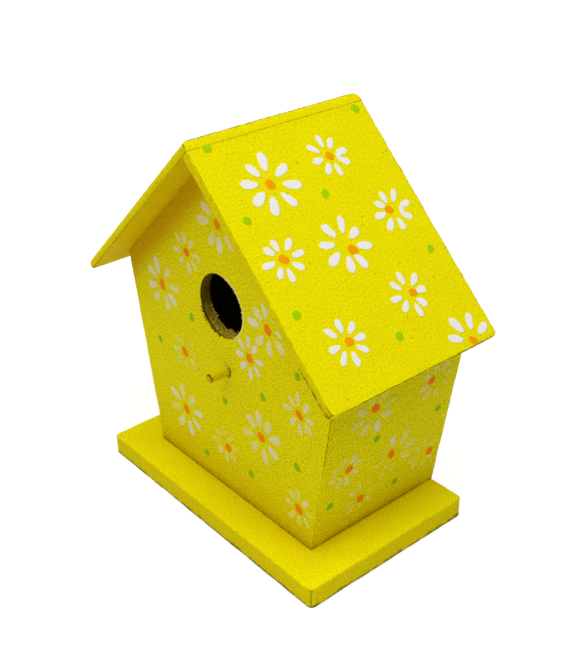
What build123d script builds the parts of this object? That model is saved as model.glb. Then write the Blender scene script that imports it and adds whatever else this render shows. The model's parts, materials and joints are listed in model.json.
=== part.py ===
from build123d import *
import math
import os

# A small painted wooden birdhouse with a gable roof, built from thin boards on a thicker base.
# Frame: +X to the right seen from the front, +Y to the back, +Z up.
# The origin is the centre of the base board's underside. Lengths are millimetres.

# ---- House body -----------------------------------------------------------------------------
house_width = 123.0           # outside, at the foot of the walls
house_depth = 84.3            # front face of the front wall to back face of the back wall
house_height = 192.3          # top of the base board to the outer ridge line
wall_flare = 9.33             # degrees that each side wall leans outward
end_wall_thickness = 5.5      # front and back walls
side_wall_thickness = 5.5

# ---- Base board -----------------------------------------------------------------------------
base_thickness = 11.5
base_side_margin = 21.0       # base showing beyond the foot of each side wall
porch_depth = 18.7            # base showing in front of the front wall
base_corner_radius = 3.0
base_edge_round = 0.8

# ---- Roof -----------------------------------------------------------------------------------
roof_pitch = 44.0             # degrees
roof_thickness = 5.0
roof_front_overhang = 17.4    # beyond the front wall; the back is flush
left_eave_overhang = 13.5     # down the slope, past the side wall
right_eave_overhang = 16.5
roof_corner_radius = 1.5       # at the two lower corners of each panel
roof_edge_round = 0.6

# ---- Entrance and perch ---------------------------------------------------------------------
entrance_diameter = 32.0
entrance_height = 107.3       # centre, above the top of the base board
entrance_offset = -1.4        # drilled a little left of the middle
perch_diameter = 5.2          # a 5 mm dowel with its paint
perch_height = 72.8           # centre, above the top of the base board
perch_offset = 1.2            # drilled a little right of the middle
perch_reach = 11.2            # in front of the front wall
perch_tip_chamfer = 0.4

# ---- Brads ----------------------------------------------------------------------------------
brad_length = 18.0
base_brad_length = 24.0
brad_shank_diameter = 1.2
brad_head_diameter = 2.0
brad_head_thickness = 0.6
brad_point_length = 1.8
brad_sink = 0.8               # head set below the wood
wall_brad_from_foot = 22.0
wall_brad_from_eave = 24.0
base_brad_inset = 22.0        # from the foot of the side wall
roof_brad_from_ridge = 30.0
roof_brad_from_side_wall = 30.0
ridge_brad_count = 4
ridge_brad_end_margin = 12.0

# ---- Places worked out from the sizes above -------------------------------------------------
pitch = math.radians(roof_pitch)
flare = math.radians(wall_flare)
base_width = house_width + 2 * base_side_margin
base_depth = house_depth + porch_depth
back_y = base_depth / 2
front_face_y = back_y - house_depth
front_inner_y = front_face_y + end_wall_thickness
back_inner_y = back_y - end_wall_thickness
roof_front_y = front_face_y - roof_front_overhang
ridge_z = base_thickness + house_height
inner_ridge_z = ridge_z - roof_thickness / math.cos(pitch)
lap_width = roof_thickness / math.sin(2 * pitch)


def side_line_x(z, inset=0.0):
    """Half width of the house at height z, or of a plane set in from the outside of its side wall."""
    return house_width / 2 + (z - base_thickness) * math.tan(flare) - inset / math.cos(flare)


def eave_corner(inset=0.0):
    """Where a side wall plane, set in from the outside, meets the underside of the roof."""
    foot_x = side_line_x(base_thickness, inset)
    rise = inner_ridge_z - base_thickness
    x = (foot_x + rise * math.tan(flare)) / (1 + math.tan(pitch) * math.tan(flare))
    return x, inner_ridge_z - x * math.tan(pitch)


def slope_point(side, along, depth):
    """A point of a roof slope: along it from the outer ridge line, and below its outer face."""
    x = side * (along * math.cos(pitch) - depth * math.sin(pitch))
    return x, ridge_z - along * math.sin(pitch) - depth * math.cos(pitch)


eave_x, eave_z = eave_corner()
side_wall_along = (eave_x + roof_thickness * math.sin(pitch)) / math.cos(pitch)


def board(outline, front, back):
    """A flat board: an outline of (x, z) points, extruded from y = front to y = back."""
    corners = [(x, front, z) for x, z in outline]
    return extrude(make_face(Polyline(*corners, close=True)), amount=back - front, dir=(0, 1, 0))


def rod(start, direction, length, radius):
    """A round rod from its start point along a direction."""
    stock = Cylinder(radius, length, align=(Align.CENTER, Align.CENTER, Align.MIN))
    return Plane(origin=start, z_dir=direction) * stock


# ---- Brads and the holes they make ----------------------------------------------------------
def brad(place, length):
    """A headed brad from its head's top at the plane's origin, down the plane's normal."""
    seat = (Align.CENTER, Align.CENTER, Align.MIN)
    shank_radius = brad_shank_diameter / 2
    shank_length = length - brad_point_length
    head = Cylinder(brad_head_diameter / 2, brad_head_thickness, align=seat)
    shank = Cylinder(shank_radius, shank_length, align=seat)
    point = Cone(shank_radius, shank_radius / 4, brad_point_length, align=seat)
    return place * (head + shank + Pos(0, 0, shank_length) * point)


def brad_hole(place, length):
    """The space that a driven brad leaves in the wood, with the pit above its head."""
    pit_depth = brad_sink + 2 * brad_head_thickness
    pit = Cylinder(brad_head_diameter / 2, pit_depth, align=(Align.CENTER, Align.CENTER, Align.MAX))
    return brad(place, length) + place * pit


def end_wall_brad_places(head_y, direction):
    """Two brads at each side, through an end wall into the middle of the side wall's edge."""
    heights = (base_thickness + wall_brad_from_foot, eave_z - wall_brad_from_eave)
    places = []
    for side in (-1, 1):
        for z in heights:
            x = side * side_line_x(z, side_wall_thickness / 2)
            places.append(Plane(origin=(x, head_y, z), z_dir=(0, direction, 0)))
    return places


def base_brad_places():
    """Brads up through the base board into the middle of the front and back walls."""
    brad_x = house_width / 2 - base_brad_inset
    wall_middles = ((front_face_y + front_inner_y) / 2, (back_y + back_inner_y) / 2)
    return [Plane(origin=(side * brad_x, y, brad_sink), z_dir=(0, 0, 1))
            for y in wall_middles for side in (-1, 1)]


def roof_brad_places(side):
    """Brads square through a roof panel into the middle of the front and back gables."""
    wall_middles = ((front_face_y + front_inner_y) / 2, (back_y + back_inner_y) / 2)
    inward = (-side * math.sin(pitch), 0, -math.cos(pitch))
    places = []
    for y in wall_middles:
        for along in (roof_brad_from_ridge, side_wall_along - roof_brad_from_side_wall):
            x, z = slope_point(side, along, brad_sink)
            places.append(Plane(origin=(x, y, z), z_dir=inward))
    return places


def ridge_brad_places():
    """Brads through the lapping left panel into the top end of the right panel."""
    entry = -(roof_thickness / 2) / math.tan(2 * pitch)
    x, z = slope_point(1, entry + brad_sink, roof_thickness / 2)
    down_right_slope = (math.cos(pitch), 0, -math.sin(pitch))
    first = roof_front_y + ridge_brad_end_margin
    spacing = (back_y - ridge_brad_end_margin - first) / (ridge_brad_count - 1)
    return [Plane(origin=(x, first + i * spacing, z), z_dir=down_right_slope)
            for i in range(ridge_brad_count)]


brad_groups = {
    "front_wall_brads": (end_wall_brad_places(front_face_y + brad_sink, 1), brad_length),
    "back_wall_brads": (end_wall_brad_places(back_y - brad_sink, -1), brad_length),
    "base_brads": (base_brad_places(), base_brad_length),
    "left_roof_brads": (roof_brad_places(-1), brad_length),
    "right_roof_brads": (roof_brad_places(1), brad_length),
    "ridge_brads": (ridge_brad_places(), brad_length),
}


def bored_for(piece, *group_names):
    """The piece with the holes of the named brad groups."""
    for name in group_names:
        places, length = brad_groups[name]
        for place in places:
            piece = piece - brad_hole(place, length)
    return piece


# ---- Boards ---------------------------------------------------------------------------------
def make_base_board():
    stock = Box(base_width, base_depth, base_thickness, align=(Align.CENTER, Align.CENTER, Align.MIN))
    stock = fillet(stock.edges().filter_by(Axis.Z), base_corner_radius)
    rims = stock.faces().sort_by(Axis.Z)[0].edges() + stock.faces().sort_by(Axis.Z)[-1].edges()
    return bored_for(fillet(rims, base_edge_round), "base_brads")


def gable_outline():
    """The shape that both end walls are cut to."""
    foot_x = side_line_x(base_thickness)
    return [(-foot_x, base_thickness), (foot_x, base_thickness), (eave_x, eave_z),
            (0, inner_ridge_z), (-eave_x, eave_z)]


def make_front_wall():
    wall = board(gable_outline(), front_face_y, front_inner_y)
    entrance = (entrance_offset, front_face_y, base_thickness + entrance_height)
    perch_root = (perch_offset, front_face_y, base_thickness + perch_height)
    wall -= rod(entrance, (0, 1, 0), end_wall_thickness, entrance_diameter / 2)
    wall -= rod(perch_root, (0, 1, 0), end_wall_thickness, perch_diameter / 2)
    return bored_for(wall, "front_wall_brads", "base_brads", "left_roof_brads", "right_roof_brads")


def make_back_wall():
    wall = board(gable_outline(), back_inner_y, back_y)
    return bored_for(wall, "back_wall_brads", "base_brads", "left_roof_brads", "right_roof_brads")


def make_side_wall(side):
    """A leaning side wall between the end walls, its top cut to the underside of the roof."""
    inner_x, inner_z = eave_corner(side_wall_thickness)
    outline = [(side_line_x(base_thickness), base_thickness), (eave_x, eave_z), (inner_x, inner_z),
               (side_line_x(base_thickness, side_wall_thickness), base_thickness)]
    wall = board([(side * x, z) for x, z in outline], front_inner_y, back_inner_y)
    return bored_for(wall, "front_wall_brads", "back_wall_brads")


def rounded_eave(panel, side):
    """The panel with the lower corners rounded, and the rims of its lower end eased."""
    def lower_end():
        return panel.faces().sort_by(Axis.X)[-1 if side > 0 else 0]

    corners = lower_end().edges() - lower_end().edges().filter_by(Axis.Y)
    panel = fillet(corners, roof_corner_radius)
    return fillet(lower_end().edges().filter_by(Axis.Y), roof_edge_round)


def make_left_roof_panel():
    """The panel that laps over the top end of the other one at the ridge."""
    length = side_wall_along + left_eave_overhang
    outline = [slope_point(-1, 0, 0), slope_point(-1, length, 0),
               slope_point(-1, length, roof_thickness), slope_point(1, lap_width, 0)]
    panel = rounded_eave(board(outline, roof_front_y, back_y), -1)
    return bored_for(panel, "left_roof_brads", "ridge_brads")


def make_right_roof_panel():
    length = side_wall_along + right_eave_overhang
    outline = [slope_point(1, lap_width, 0), slope_point(1, length, 0),
               slope_point(1, length, roof_thickness), (0, inner_ridge_z)]
    panel = rounded_eave(board(outline, roof_front_y, back_y), 1)
    return bored_for(panel, "right_roof_brads", "ridge_brads")


def make_perch():
    """A dowel glued through the front wall, flush with its inner face."""
    tip = (perch_offset, front_face_y - perch_reach, base_thickness + perch_height)
    dowel = rod(tip, (0, 1, 0), perch_reach + end_wall_thickness, perch_diameter / 2)
    return chamfer(dowel.edges().sort_by(Axis.Y)[0], perch_tip_chamfer)


# ---- The finished pieces, one file each -----------------------------------------------------
pieces = {
    "base_board": make_base_board(),
    "front_wall": make_front_wall(),
    "back_wall": make_back_wall(),
    "left_wall": make_side_wall(-1),
    "right_wall": make_side_wall(1),
    "left_roof_panel": make_left_roof_panel(),
    "right_roof_panel": make_right_roof_panel(),
    "perch": make_perch(),
}
for name, (places, length) in brad_groups.items():
    pieces[name] = Compound(children=[brad(place, length) for place in places])

os.makedirs("parts", exist_ok=True)
for name, shape in pieces.items():
    export_step(shape, f"parts/{name}.step")
    print(f"{name}: {len(shape.solids())} solid(s), {shape.volume:.0f} cubic mm")
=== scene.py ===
# %% [markdown]
# # Dressing a painted birdhouse
#
# The birdhouse is already built in CAD: a base board, four walls, two roof panels, a dowel
# perch and small brads, each where it belongs. This lesson gives those plain solids the look
# of a hand-finished toy-like garden piece: lemon paint over thin board, daisies dabbed on
# with a stencil, ragged wood round the entrance, and dark wear where boards meet.
#
# Everything is in metres, in the CAD model's own frame: +X right, +Y back, +Z up.

import json
import math

import bmesh
import bpy
import numpy as np
from mathutils import Matrix, Vector, noise

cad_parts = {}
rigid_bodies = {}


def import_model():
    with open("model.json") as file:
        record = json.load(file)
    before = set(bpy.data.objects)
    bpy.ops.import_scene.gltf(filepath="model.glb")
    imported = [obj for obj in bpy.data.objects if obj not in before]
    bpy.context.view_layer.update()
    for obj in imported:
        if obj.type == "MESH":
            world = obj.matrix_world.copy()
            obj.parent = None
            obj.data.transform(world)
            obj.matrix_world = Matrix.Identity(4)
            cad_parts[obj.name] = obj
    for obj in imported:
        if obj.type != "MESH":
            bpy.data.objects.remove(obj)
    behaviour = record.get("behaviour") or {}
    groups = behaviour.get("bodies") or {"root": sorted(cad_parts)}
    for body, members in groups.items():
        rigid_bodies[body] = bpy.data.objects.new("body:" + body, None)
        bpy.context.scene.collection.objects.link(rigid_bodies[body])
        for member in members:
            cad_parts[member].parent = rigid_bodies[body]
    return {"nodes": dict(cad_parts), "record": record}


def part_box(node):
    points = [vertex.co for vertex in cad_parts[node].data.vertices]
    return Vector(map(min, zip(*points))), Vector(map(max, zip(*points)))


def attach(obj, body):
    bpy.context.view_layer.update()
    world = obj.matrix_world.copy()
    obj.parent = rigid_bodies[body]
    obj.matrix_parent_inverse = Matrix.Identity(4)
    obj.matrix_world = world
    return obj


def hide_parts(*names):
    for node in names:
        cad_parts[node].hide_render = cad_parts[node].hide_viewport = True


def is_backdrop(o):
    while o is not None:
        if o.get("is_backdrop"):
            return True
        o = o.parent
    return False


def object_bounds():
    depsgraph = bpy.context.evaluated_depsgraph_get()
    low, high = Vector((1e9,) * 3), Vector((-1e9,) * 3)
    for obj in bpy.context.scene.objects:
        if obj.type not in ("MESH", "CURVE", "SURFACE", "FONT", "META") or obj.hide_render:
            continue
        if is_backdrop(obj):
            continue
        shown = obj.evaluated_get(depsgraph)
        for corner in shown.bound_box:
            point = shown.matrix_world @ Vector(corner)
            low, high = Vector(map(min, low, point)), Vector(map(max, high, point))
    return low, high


for leftover in list(bpy.data.objects):
    bpy.data.objects.remove(leftover)
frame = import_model()
nodes = frame["nodes"]
cad_low, cad_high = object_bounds()
MM = 0.001
UP = Vector((0, 0, 1))
print("CAD box in mm:", [round(size / MM, 1) for size in cad_high - cad_low])

# %% [markdown]
# ## The camera
#
# A camera placed by its position and the point it looks at is easier to reason about than
# one placed by angles. This one stands in front of the right-hand corner and looks down
# about thirty degrees, with a slight roll, because a camera held by hand is never level.

# %% Camera
camera_place = Vector((0.35302, -0.29024, 0.35526))
camera_aim = Vector((0.0, 0.00736, 0.09112))
camera_roll = math.radians(-0.86)

camera_data = bpy.data.cameras.new("camera")
camera_data.lens = 58.05
camera_data.sensor_width = 36.0
camera = bpy.data.objects.new("camera", camera_data)
bpy.context.scene.collection.objects.link(camera)
look = (camera_aim - camera_place).to_track_quat("-Z", "Y").to_matrix().to_4x4()
camera.matrix_world = Matrix.Translation(camera_place) @ look @ Matrix.Rotation(camera_roll, 4, "Z")
bpy.context.scene.camera = camera
print("camera is", round((camera_aim - camera_place).length, 3), "m from its aim")

# %% [markdown]
# ## A short way to wire nodes
#
# Shader trees and geometry trees are both boxes joined by links. Written out call by call
# they fill pages, so one small class adds a node, fills its sockets by name and returns it.
# It looks only at sockets that are in use, because many nodes keep several hidden sockets
# with the same name for their other data types.


# %% Wiring helper
class Wiring:
    """Adds nodes to one tree and joins them by socket name or number."""

    def __init__(self, tree):
        self.tree = tree

    def add(self, kind, inputs=None, **settings):
        """A new node with its settings and inputs. A socket as a value is linked."""
        node = self.tree.nodes.new(kind)
        for name, value in settings.items():
            setattr(node, name, value)
        for name, value in (inputs or {}).items():
            target = node.inputs[name] if isinstance(name, int) else self.used(node.inputs, name)
            if isinstance(value, bpy.types.NodeSocket):
                self.tree.links.new(value, target)
            else:
                target.default_value = value
        return node

    def used(self, sockets, name):
        """The socket of this name that is in use."""
        return next(s for s in sockets if s.enabled and s.name == name)

    def out(self, node, name=None):
        """A node's output by name, or its first one in use."""
        if name is None:
            return next(s for s in node.outputs if s.enabled)
        return self.used(node.outputs, name)

    def math(self, operation, *values):
        """The result of one Math node."""
        inputs = dict(enumerate(values))
        return self.add("ShaderNodeMath", inputs, operation=operation).outputs[0]

    def plus(self, first, second):
        """The sum of two values."""
        return self.math("ADD", first, second)

    def minus(self, first, second):
        """The first value less the second."""
        return self.math("SUBTRACT", first, second)

    def times(self, first, second):
        """The product of two values."""
        return self.math("MULTIPLY", first, second)

    def swing(self, value, amount):
        """A value from 0 to 1 made to swing about zero, by this much from end to end."""
        return self.times(self.minus(value, 0.5), amount)

    def vector(self, operation, first, second=None):
        """The result of one Vector Math node."""
        inputs = {0: first}
        if second is not None:
            inputs["Scale" if operation == "SCALE" else 1] = second
        return self.out(self.add("ShaderNodeVectorMath", inputs, operation=operation))

    def mix(self, share, first, second, how="MIX"):
        """A colour between two colours."""
        inputs = {"Factor": share, "A": first, "B": second}
        node = self.add("ShaderNodeMix", inputs, data_type="RGBA", blend_type=how)
        return self.out(node, "Result")

    def ramp(self, value, start, end, low=0.0, high=1.0):
        """A value eased from low to high while it goes from start to end."""
        inputs = {"Value": value, "From Min": start, "From Max": end}
        inputs.update({"To Min": low, "To Max": high})
        node = self.add("ShaderNodeMapRange", inputs, interpolation_type="SMOOTHSTEP")
        return self.out(node, "Result")

    def stretch(self, vector, factors):
        """A vector with each part multiplied, to draw a pattern out along one way."""
        return self.vector("MULTIPLY", vector, factors)

    def cloud(self, vector, size, detail=2.0):
        """Soft noise from 0 to 1 whose lumps are about this size, in metres."""
        scale = self.math("DIVIDE", 1.0, size)
        inputs = {"Vector": vector, "Scale": scale, "Detail": detail}
        return self.out(self.add("ShaderNodeTexNoise", inputs))

    def given(self, name, part="Fac"):
        """A named attribute of the mesh, as a shader reads it."""
        return self.out(self.add("ShaderNodeAttribute", attribute_name=name), part)

    def chance(self, seed, low, high, shift):
        """A random value for each element. Draws with different shifts are independent."""
        inputs = {"Min": low, "Max": high, "Seed": self.plus(seed, shift)}
        return self.out(self.add("FunctionNodeRandomValue", inputs, data_type="FLOAT"))

    def laid_down(self, out, along, axis, angle):
        """A rotation that lays a piece on a face, then turns it about one of its own axes."""
        face = {"Primary Axis": out, "Secondary Axis": along}
        lie = self.add("FunctionNodeAxesToRotation", face, primary_axis="Z", secondary_axis="X")
        turn = self.add("FunctionNodeAxisAngleToRotation", {"Axis": axis, "Angle": angle})
        both = {"Rotation": self.out(lie), "Rotate By": self.out(turn)}
        return self.out(self.add("FunctionNodeRotateRotation", both, rotation_space="LOCAL"))

    def link(self, value, node, name):
        """Joins a socket to a node's input."""
        self.tree.links.new(value, node.inputs[name])


NUMBER = "NodeSocketFloat"
COUNT = "NodeSocketInt"
COLOUR = "NodeSocketColor"
VECTOR = "NodeSocketVector"
OBJECT = "NodeSocketObject"
MATERIAL = "NodeSocketMaterial"
GEOMETRY = "NodeSocketGeometry"


def make_group(name, kind, inputs, outputs):
    """An empty node group with named sockets: its tree, wiring, given node and result node."""
    tree = bpy.data.node_groups.new(name, kind)
    for label, socket_type, value in inputs:
        socket = tree.interface.new_socket(label, in_out="INPUT", socket_type=socket_type)
        if value is not None:
            socket.default_value = value
    for label, socket_type in outputs:
        tree.interface.new_socket(label, in_out="OUTPUT", socket_type=socket_type)
    wire = Wiring(tree)
    return tree, wire, tree.nodes.new("NodeGroupInput"), tree.nodes.new("NodeGroupOutput")


print("wiring helper ready")

# %% [markdown]
# ## The boards and their own axes
#
# Each board has a face that people see. Paint is brushed along that face, daisies are laid
# out on it and wear follows its edges, so every board gets its own axes: across, along and
# out of the face. They are measured from the CAD mesh, and nothing is typed in twice.
#
# The CAD boards have small pits where brads are sunk. On the real piece these are filled
# and painted over. A board without its pits is convex, so the convex hull of its corners
# closes them in one step and leaves every flat side a single clean face.


# %% Boards measured from the CAD
def corners_of(verts):
    """The places of corners as one array."""
    return np.array([v.co for v in verts])


def mesh_of(shape, name):
    """A new mesh from a shape in edit form, which is then freed."""
    mesh = bpy.data.meshes.new(name)
    shape.to_mesh(mesh)
    shape.free()
    return mesh


def skin(shape, rings):
    """Joins each ring of corners to the next with a band of faces."""
    for lower, upper in zip(rings, rings[1:]):
        for step in range(len(lower)):
            following = (step + 1) % len(lower)
            shape.faces.new((lower[step], lower[following], upper[following], upper[step]))


def close_ends(shape, rings):
    """Closes the last and the first ring with one face each, and turns all faces outward."""
    shape.faces.new(rings[-1])
    shape.faces.new(list(reversed(rings[0])))
    bmesh.ops.recalc_face_normals(shape, faces=shape.faces)


def filled_board(mesh):
    """A board with its pits closed, its flat sides whole and its faces outward."""
    board = bmesh.new()
    for corner in mesh.vertices:
        board.verts.new(corner.co)
    bmesh.ops.remove_doubles(board, verts=board.verts, dist=2e-6)
    bmesh.ops.convex_hull(board, input=board.verts)
    buried = [v for v in board.verts if not v.link_faces]
    bmesh.ops.delete(board, geom=buried, context="VERTS")
    flat = math.radians(0.5)
    bmesh.ops.dissolve_limit(board, angle_limit=flat, verts=board.verts, edges=board.edges)
    bmesh.ops.recalc_face_normals(board, faces=board.faces)
    return board


RIM_FADE = 0.8 * MM  # how far in from a board's rim its look fades
ALIGNED = 0.7  # the cosine past which two directions count as alike


class Board:
    """One board: its closed solid, its flat sides, and the axes of its painted face."""

    def __init__(self, node, facing, inside=None):
        self.node = node
        self.solid = filled_board(nodes[node].data)
        sides = [f for f in self.solid.faces if f.calc_area() > 200 * MM * MM]
        self.side_normals = np.array([f.normal for f in sides])
        self.side_points = np.array([f.calc_center_median() for f in sides])
        face = self.broad_side(sides, Vector(facing))
        inner = self.broad_side(sides, Vector(inside) if inside else -Vector(facing))
        self.inner_normal = np.array(inner.normal)
        self.inner_point = np.array(inner.calc_center_median())
        self.out = face.normal.copy()
        level = UP.cross(self.out)
        self.across = level.normalized() if level.length > 0.01 else Vector((1, 0, 0))
        self.along = self.out.cross(self.across)
        corners = [v.co.copy() for v in face.verts]
        spread = [c.dot(self.across) for c in corners]
        middle = (min(spread) + max(spread)) / 2
        climb = [c.dot(self.along) for c in corners]
        foot = min(climb)
        plane = corners[0].dot(self.out)
        self.half_width = (max(spread) - min(spread)) / 2 / MM
        self.height = (max(climb) - foot) / MM
        self.origin = self.across * middle + self.along * foot + self.out * plane
        self.outline = [(a.co.copy(), b.co.copy()) for a, b in (e.verts for e in face.edges)]
        self.axes = np.array([self.across, self.along, self.out])

    @staticmethod
    def broad_side(sides, direction):
        """The largest flat side that looks this way."""
        return max((f for f in sides if f.normal.dot(direction) > 0.5), key=lambda f: f.calc_area())

    def own(self, points):
        """Points in this board's axes, measured from the middle of its face's foot."""
        return (points - np.array(self.origin)) @ self.axes.T

    def at(self, across, along, out=0.0):
        """A point in the shared frame from millimetres in this board's axes."""
        step = self.across * across + self.along * along + self.out * out
        return self.origin + step * MM

    def clearance(self, points):
        """How far points outside this board are from it. Points inside give zero."""
        reach = (points[:, None, :] - self.side_points) * self.side_normals
        return np.maximum(reach.sum(2).max(1), 0.0)

    def depth(self, points, sides=slice(None)):
        """How deep points lie under each of some flat sides."""
        return ((self.side_points[sides] - points[:, None, :]) * self.side_normals[sides]).sum(2)

    def edge_distance(self, points):
        """How far points on this board are from its nearest edge, zero along a rounded one."""
        depth = self.depth(points)
        nearest, second = np.sort(depth, axis=1)[:, :2].T
        return (second - nearest).clip(0)

    def rim_share(self, points):
        """One on the narrow sides that run round this board, and zero on its broad faces."""
        broad = np.abs(self.side_normals @ np.array(self.out)) > ALIGNED
        return (self.depth(points, broad).min(1) / RIM_FADE).clip(0, 1)

    def inset(self, points):
        """How far in points are from the narrow sides that run round this board."""
        narrow = np.abs(self.side_normals @ np.array(self.out)) < ALIGNED
        return self.depth(points, narrow).min(1).clip(0)

    def end_share(self, points):
        """One on the board's front and back ends, and zero a little way in from them."""
        ends = np.abs(self.side_normals[:, 1]) > ALIGNED
        return 1 - (self.depth(points, ends).min(1) / RIM_FADE).clip(0, 1)

    def rounding(self, points, radius, sides=slice(None)):
        """The shifts that round the edges between some sides, by a radius per point."""
        over = (radius[:, None] - self.depth(points, sides)).clip(0)
        reach = np.linalg.norm(over, axis=1)
        kept = np.minimum(radius / np.maximum(reach, 1e-9), 1.0)
        return -(over * (1 - kept)[:, None]) @ self.side_normals[sides]

    def knocked_corner(self, points, corner, axis, radius):
        """The shifts that round one corner of the outline, as seen along an axis."""
        reach = np.abs(((self.side_points - np.array(corner)) * self.side_normals).sum(1))
        across_axis = np.abs(self.side_normals @ np.array(axis)) < 0.5
        sides = (reach < 1.0 * MM) & across_axis
        return self.rounding(points, np.full(len(points), radius), sides)


boards = {
    board.node: board
    for board in (
        Board("base_board", (0, 0, 1), inside=(0, 0, 1)),
        Board("front_wall", (0, -1, 0)),
        Board("back_wall", (0, 1, 0)),
        Board("left_wall", (-1, 0, 0)),
        Board("right_wall", (1, 0, 0)),
        Board("left_roof_panel", (-0.7, 0, 0.7)),
        Board("right_roof_panel", (0.7, 0, 0.7)),
    )
}
for board in boards.values():
    print(board.node, "has", len(board.side_normals), "flat sides, faces", tuple(board.out.to_tuple(2)))

# %% [markdown]
# ## Paint, wear and wood as node groups
#
# Every painted board shares one effect: lemon paint that is never quite even. It has broad
# patches where the coat is thicker, fine brush lines along the board, a sandy tooth and a
# few pinholes. That could be one big tree per material, but a group with named inputs is
# built once and tuned for each piece.
#
# The groups read the place of a point in the board's own axes, stored on the mesh, so the
# brush lines turn with each board and nothing slides when a piece is exported.


# %% Group: brushed paint
def make_brushed_paint():
    """One coat of brushed paint: uneven, sandy, with a few pinholes."""
    inputs = [
        ("Colour", COLOUR, (0.8, 0.7, 0.001, 1)),
        ("Place", VECTOR, None),
        ("Patchiness", NUMBER, 0.10),
        ("Tooth", NUMBER, 0.55),
        ("Specks", NUMBER, 0.06),
    ]
    outputs = [
        ("Colour", COLOUR),
        ("Roughness", NUMBER),
        ("Height", NUMBER),
    ]
    tree, wire, given, result = make_group("brushed paint", "ShaderNodeTree", inputs, outputs)
    place = given.outputs["Place"]
    strokes = wire.cloud(wire.stretch(place, (1.0, 0.08, 1.0)), 0.9 * MM, 3)
    patches = wire.cloud(place, 14 * MM, 3)
    grains = wire.cloud(place, 0.95 * MM, 2)
    lumps = wire.cloud(place, 2.4 * MM, 2)

    patch_tone = wire.swing(patches, given.outputs["Patchiness"])
    grain_tone = wire.swing(grains, given.outputs["Tooth"])
    stroke_tone = wire.swing(strokes, 0.03)
    tone = wire.plus(wire.plus(patch_tone, grain_tone), stroke_tone)
    tone = wire.plus(tone, 1.0)
    lit = wire.add("ShaderNodeVectorMath", {0: given.outputs["Colour"], "Scale": tone}, operation="SCALE")
    deeper = wire.mix(0.5, given.outputs["Colour"], (0.60, 0.44, 0.001, 1), "MULTIPLY")
    thin = wire.times(wire.ramp(lumps, 0.60, 0.80), 0.08)
    hollow = wire.times(wire.ramp(grains, 0.33, 0.46, 0.55, 0.0), given.outputs["Tooth"])
    colour = wire.mix(wire.plus(thin, hollow), lit.outputs[0], deeper)

    cells = wire.add("ShaderNodeTexVoronoi", {"Vector": place, "Scale": 1 / (1.9 * MM)})
    draw = wire.add("ShaderNodeSeparateColor", {0: wire.out(cells, "Color")})
    chosen = wire.math("LESS_THAN", draw.outputs["Red"], given.outputs["Specks"])
    radius = wire.plus(wire.times(draw.outputs["Green"], 0.10), 0.09)
    hole = wire.math("LESS_THAN", wire.out(cells, "Distance"), radius)
    hole = wire.times(hole, chosen)
    shade = wire.plus(wire.times(draw.outputs["Blue"], 0.55), 0.30)
    colour = wire.mix(wire.times(hole, shade), colour, (0.16, 0.10, 0.002, 1))

    height = wire.plus(wire.times(strokes, 0.15), wire.times(grains, 1.0))
    height = wire.plus(height, wire.times(lumps, 0.9))
    height = wire.minus(height, wire.times(hole, 1.2))
    wire.link(colour, result, "Colour")
    wire.link(wire.ramp(patches, 0.2, 0.8, 0.55, 0.72), result, "Roughness")
    wire.link(height, result, "Height")
    return tree


brushed_paint = make_brushed_paint()
print("group:", brushed_paint.name)

# %% [markdown]
# Shade is painted in where two boards meet, and paint rubs thin on outer edges. Both are masks that
# fade with a distance, and both look drawn with a ruler unless the distance wanders. One
# group serves both: it takes the distance, how far the mark reaches and how ragged it is.


# %% Group: ragged band
def make_ragged_band():
    """A mask that fades with a distance, with a wandering and broken edge."""
    inputs = [
        ("Distance", NUMBER, 0.0),
        ("Reach", NUMBER, 0.001),
        ("Raggedness", NUMBER, 0.5),
        ("Broken", NUMBER, 0.0),
        ("Break Size", NUMBER, 0.004),
        ("Place", VECTOR, None),
    ]
    outputs = [("Mask", NUMBER)]
    tree, wire, given, result = make_group("ragged band", "ShaderNodeTree", inputs, outputs)
    place = given.outputs["Place"]
    wander = wire.plus(wire.cloud(place, 2.2 * MM, 3), wire.cloud(place, 7 * MM, 1))
    swing = wire.times(wire.minus(wander, 1.0), given.outputs["Raggedness"])
    share = wire.plus(wire.times(swing, 3.0), 1.0)
    reach = wire.math("MAXIMUM", wire.times(share, given.outputs["Reach"]), 0.00001)
    band = wire.ramp(given.outputs["Distance"], 0.0, reach, 1.0, 0.0)
    gaps = wire.cloud(place, given.outputs["Break Size"], 2)
    level = wire.times(given.outputs["Broken"], 0.8)
    kept = wire.ramp(gaps, wire.minus(level, 0.08), wire.plus(level, 0.05))
    wire.link(wire.times(band, kept), result, "Mask")
    return tree


ragged_band = make_ragged_band()
print("group:", ragged_band.name)

# %% [markdown]
# Bare wood shows inside the entrance, on the indoor faces and in chips. Its fibres run one
# way, with darker lines between paler bands: noise drawn out along the grain gives both.


# %% Group: wood fibre
def make_wood_fibre():
    """Bare wood whose fibres run along the board."""
    inputs = [
        ("Pale", COLOUR, (0.42, 0.27, 0.10, 1)),
        ("Dark", COLOUR, (0.16, 0.09, 0.03, 1)),
        ("Place", VECTOR, None),
    ]
    outputs = [("Colour", COLOUR), ("Height", NUMBER)]
    tree, wire, given, result = make_group("wood fibre", "ShaderNodeTree", inputs, outputs)
    place = given.outputs["Place"]
    fibres = wire.cloud(wire.stretch(place, (1.0, 0.06, 1.0)), 0.7 * MM, 4)
    bands = wire.cloud(wire.stretch(place, (1.0, 0.04, 1.0)), 5 * MM, 2)
    mixed = wire.plus(wire.times(fibres, 0.6), wire.times(bands, 0.4))
    colour = wire.mix(wire.ramp(mixed, 0.35, 0.65), given.outputs["Dark"], given.outputs["Pale"])
    wire.link(colour, result, "Colour")
    wire.link(fibres, result, "Height")
    return tree


wood_fibre = make_wood_fibre()
print("group:", wood_fibre.name)
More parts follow.
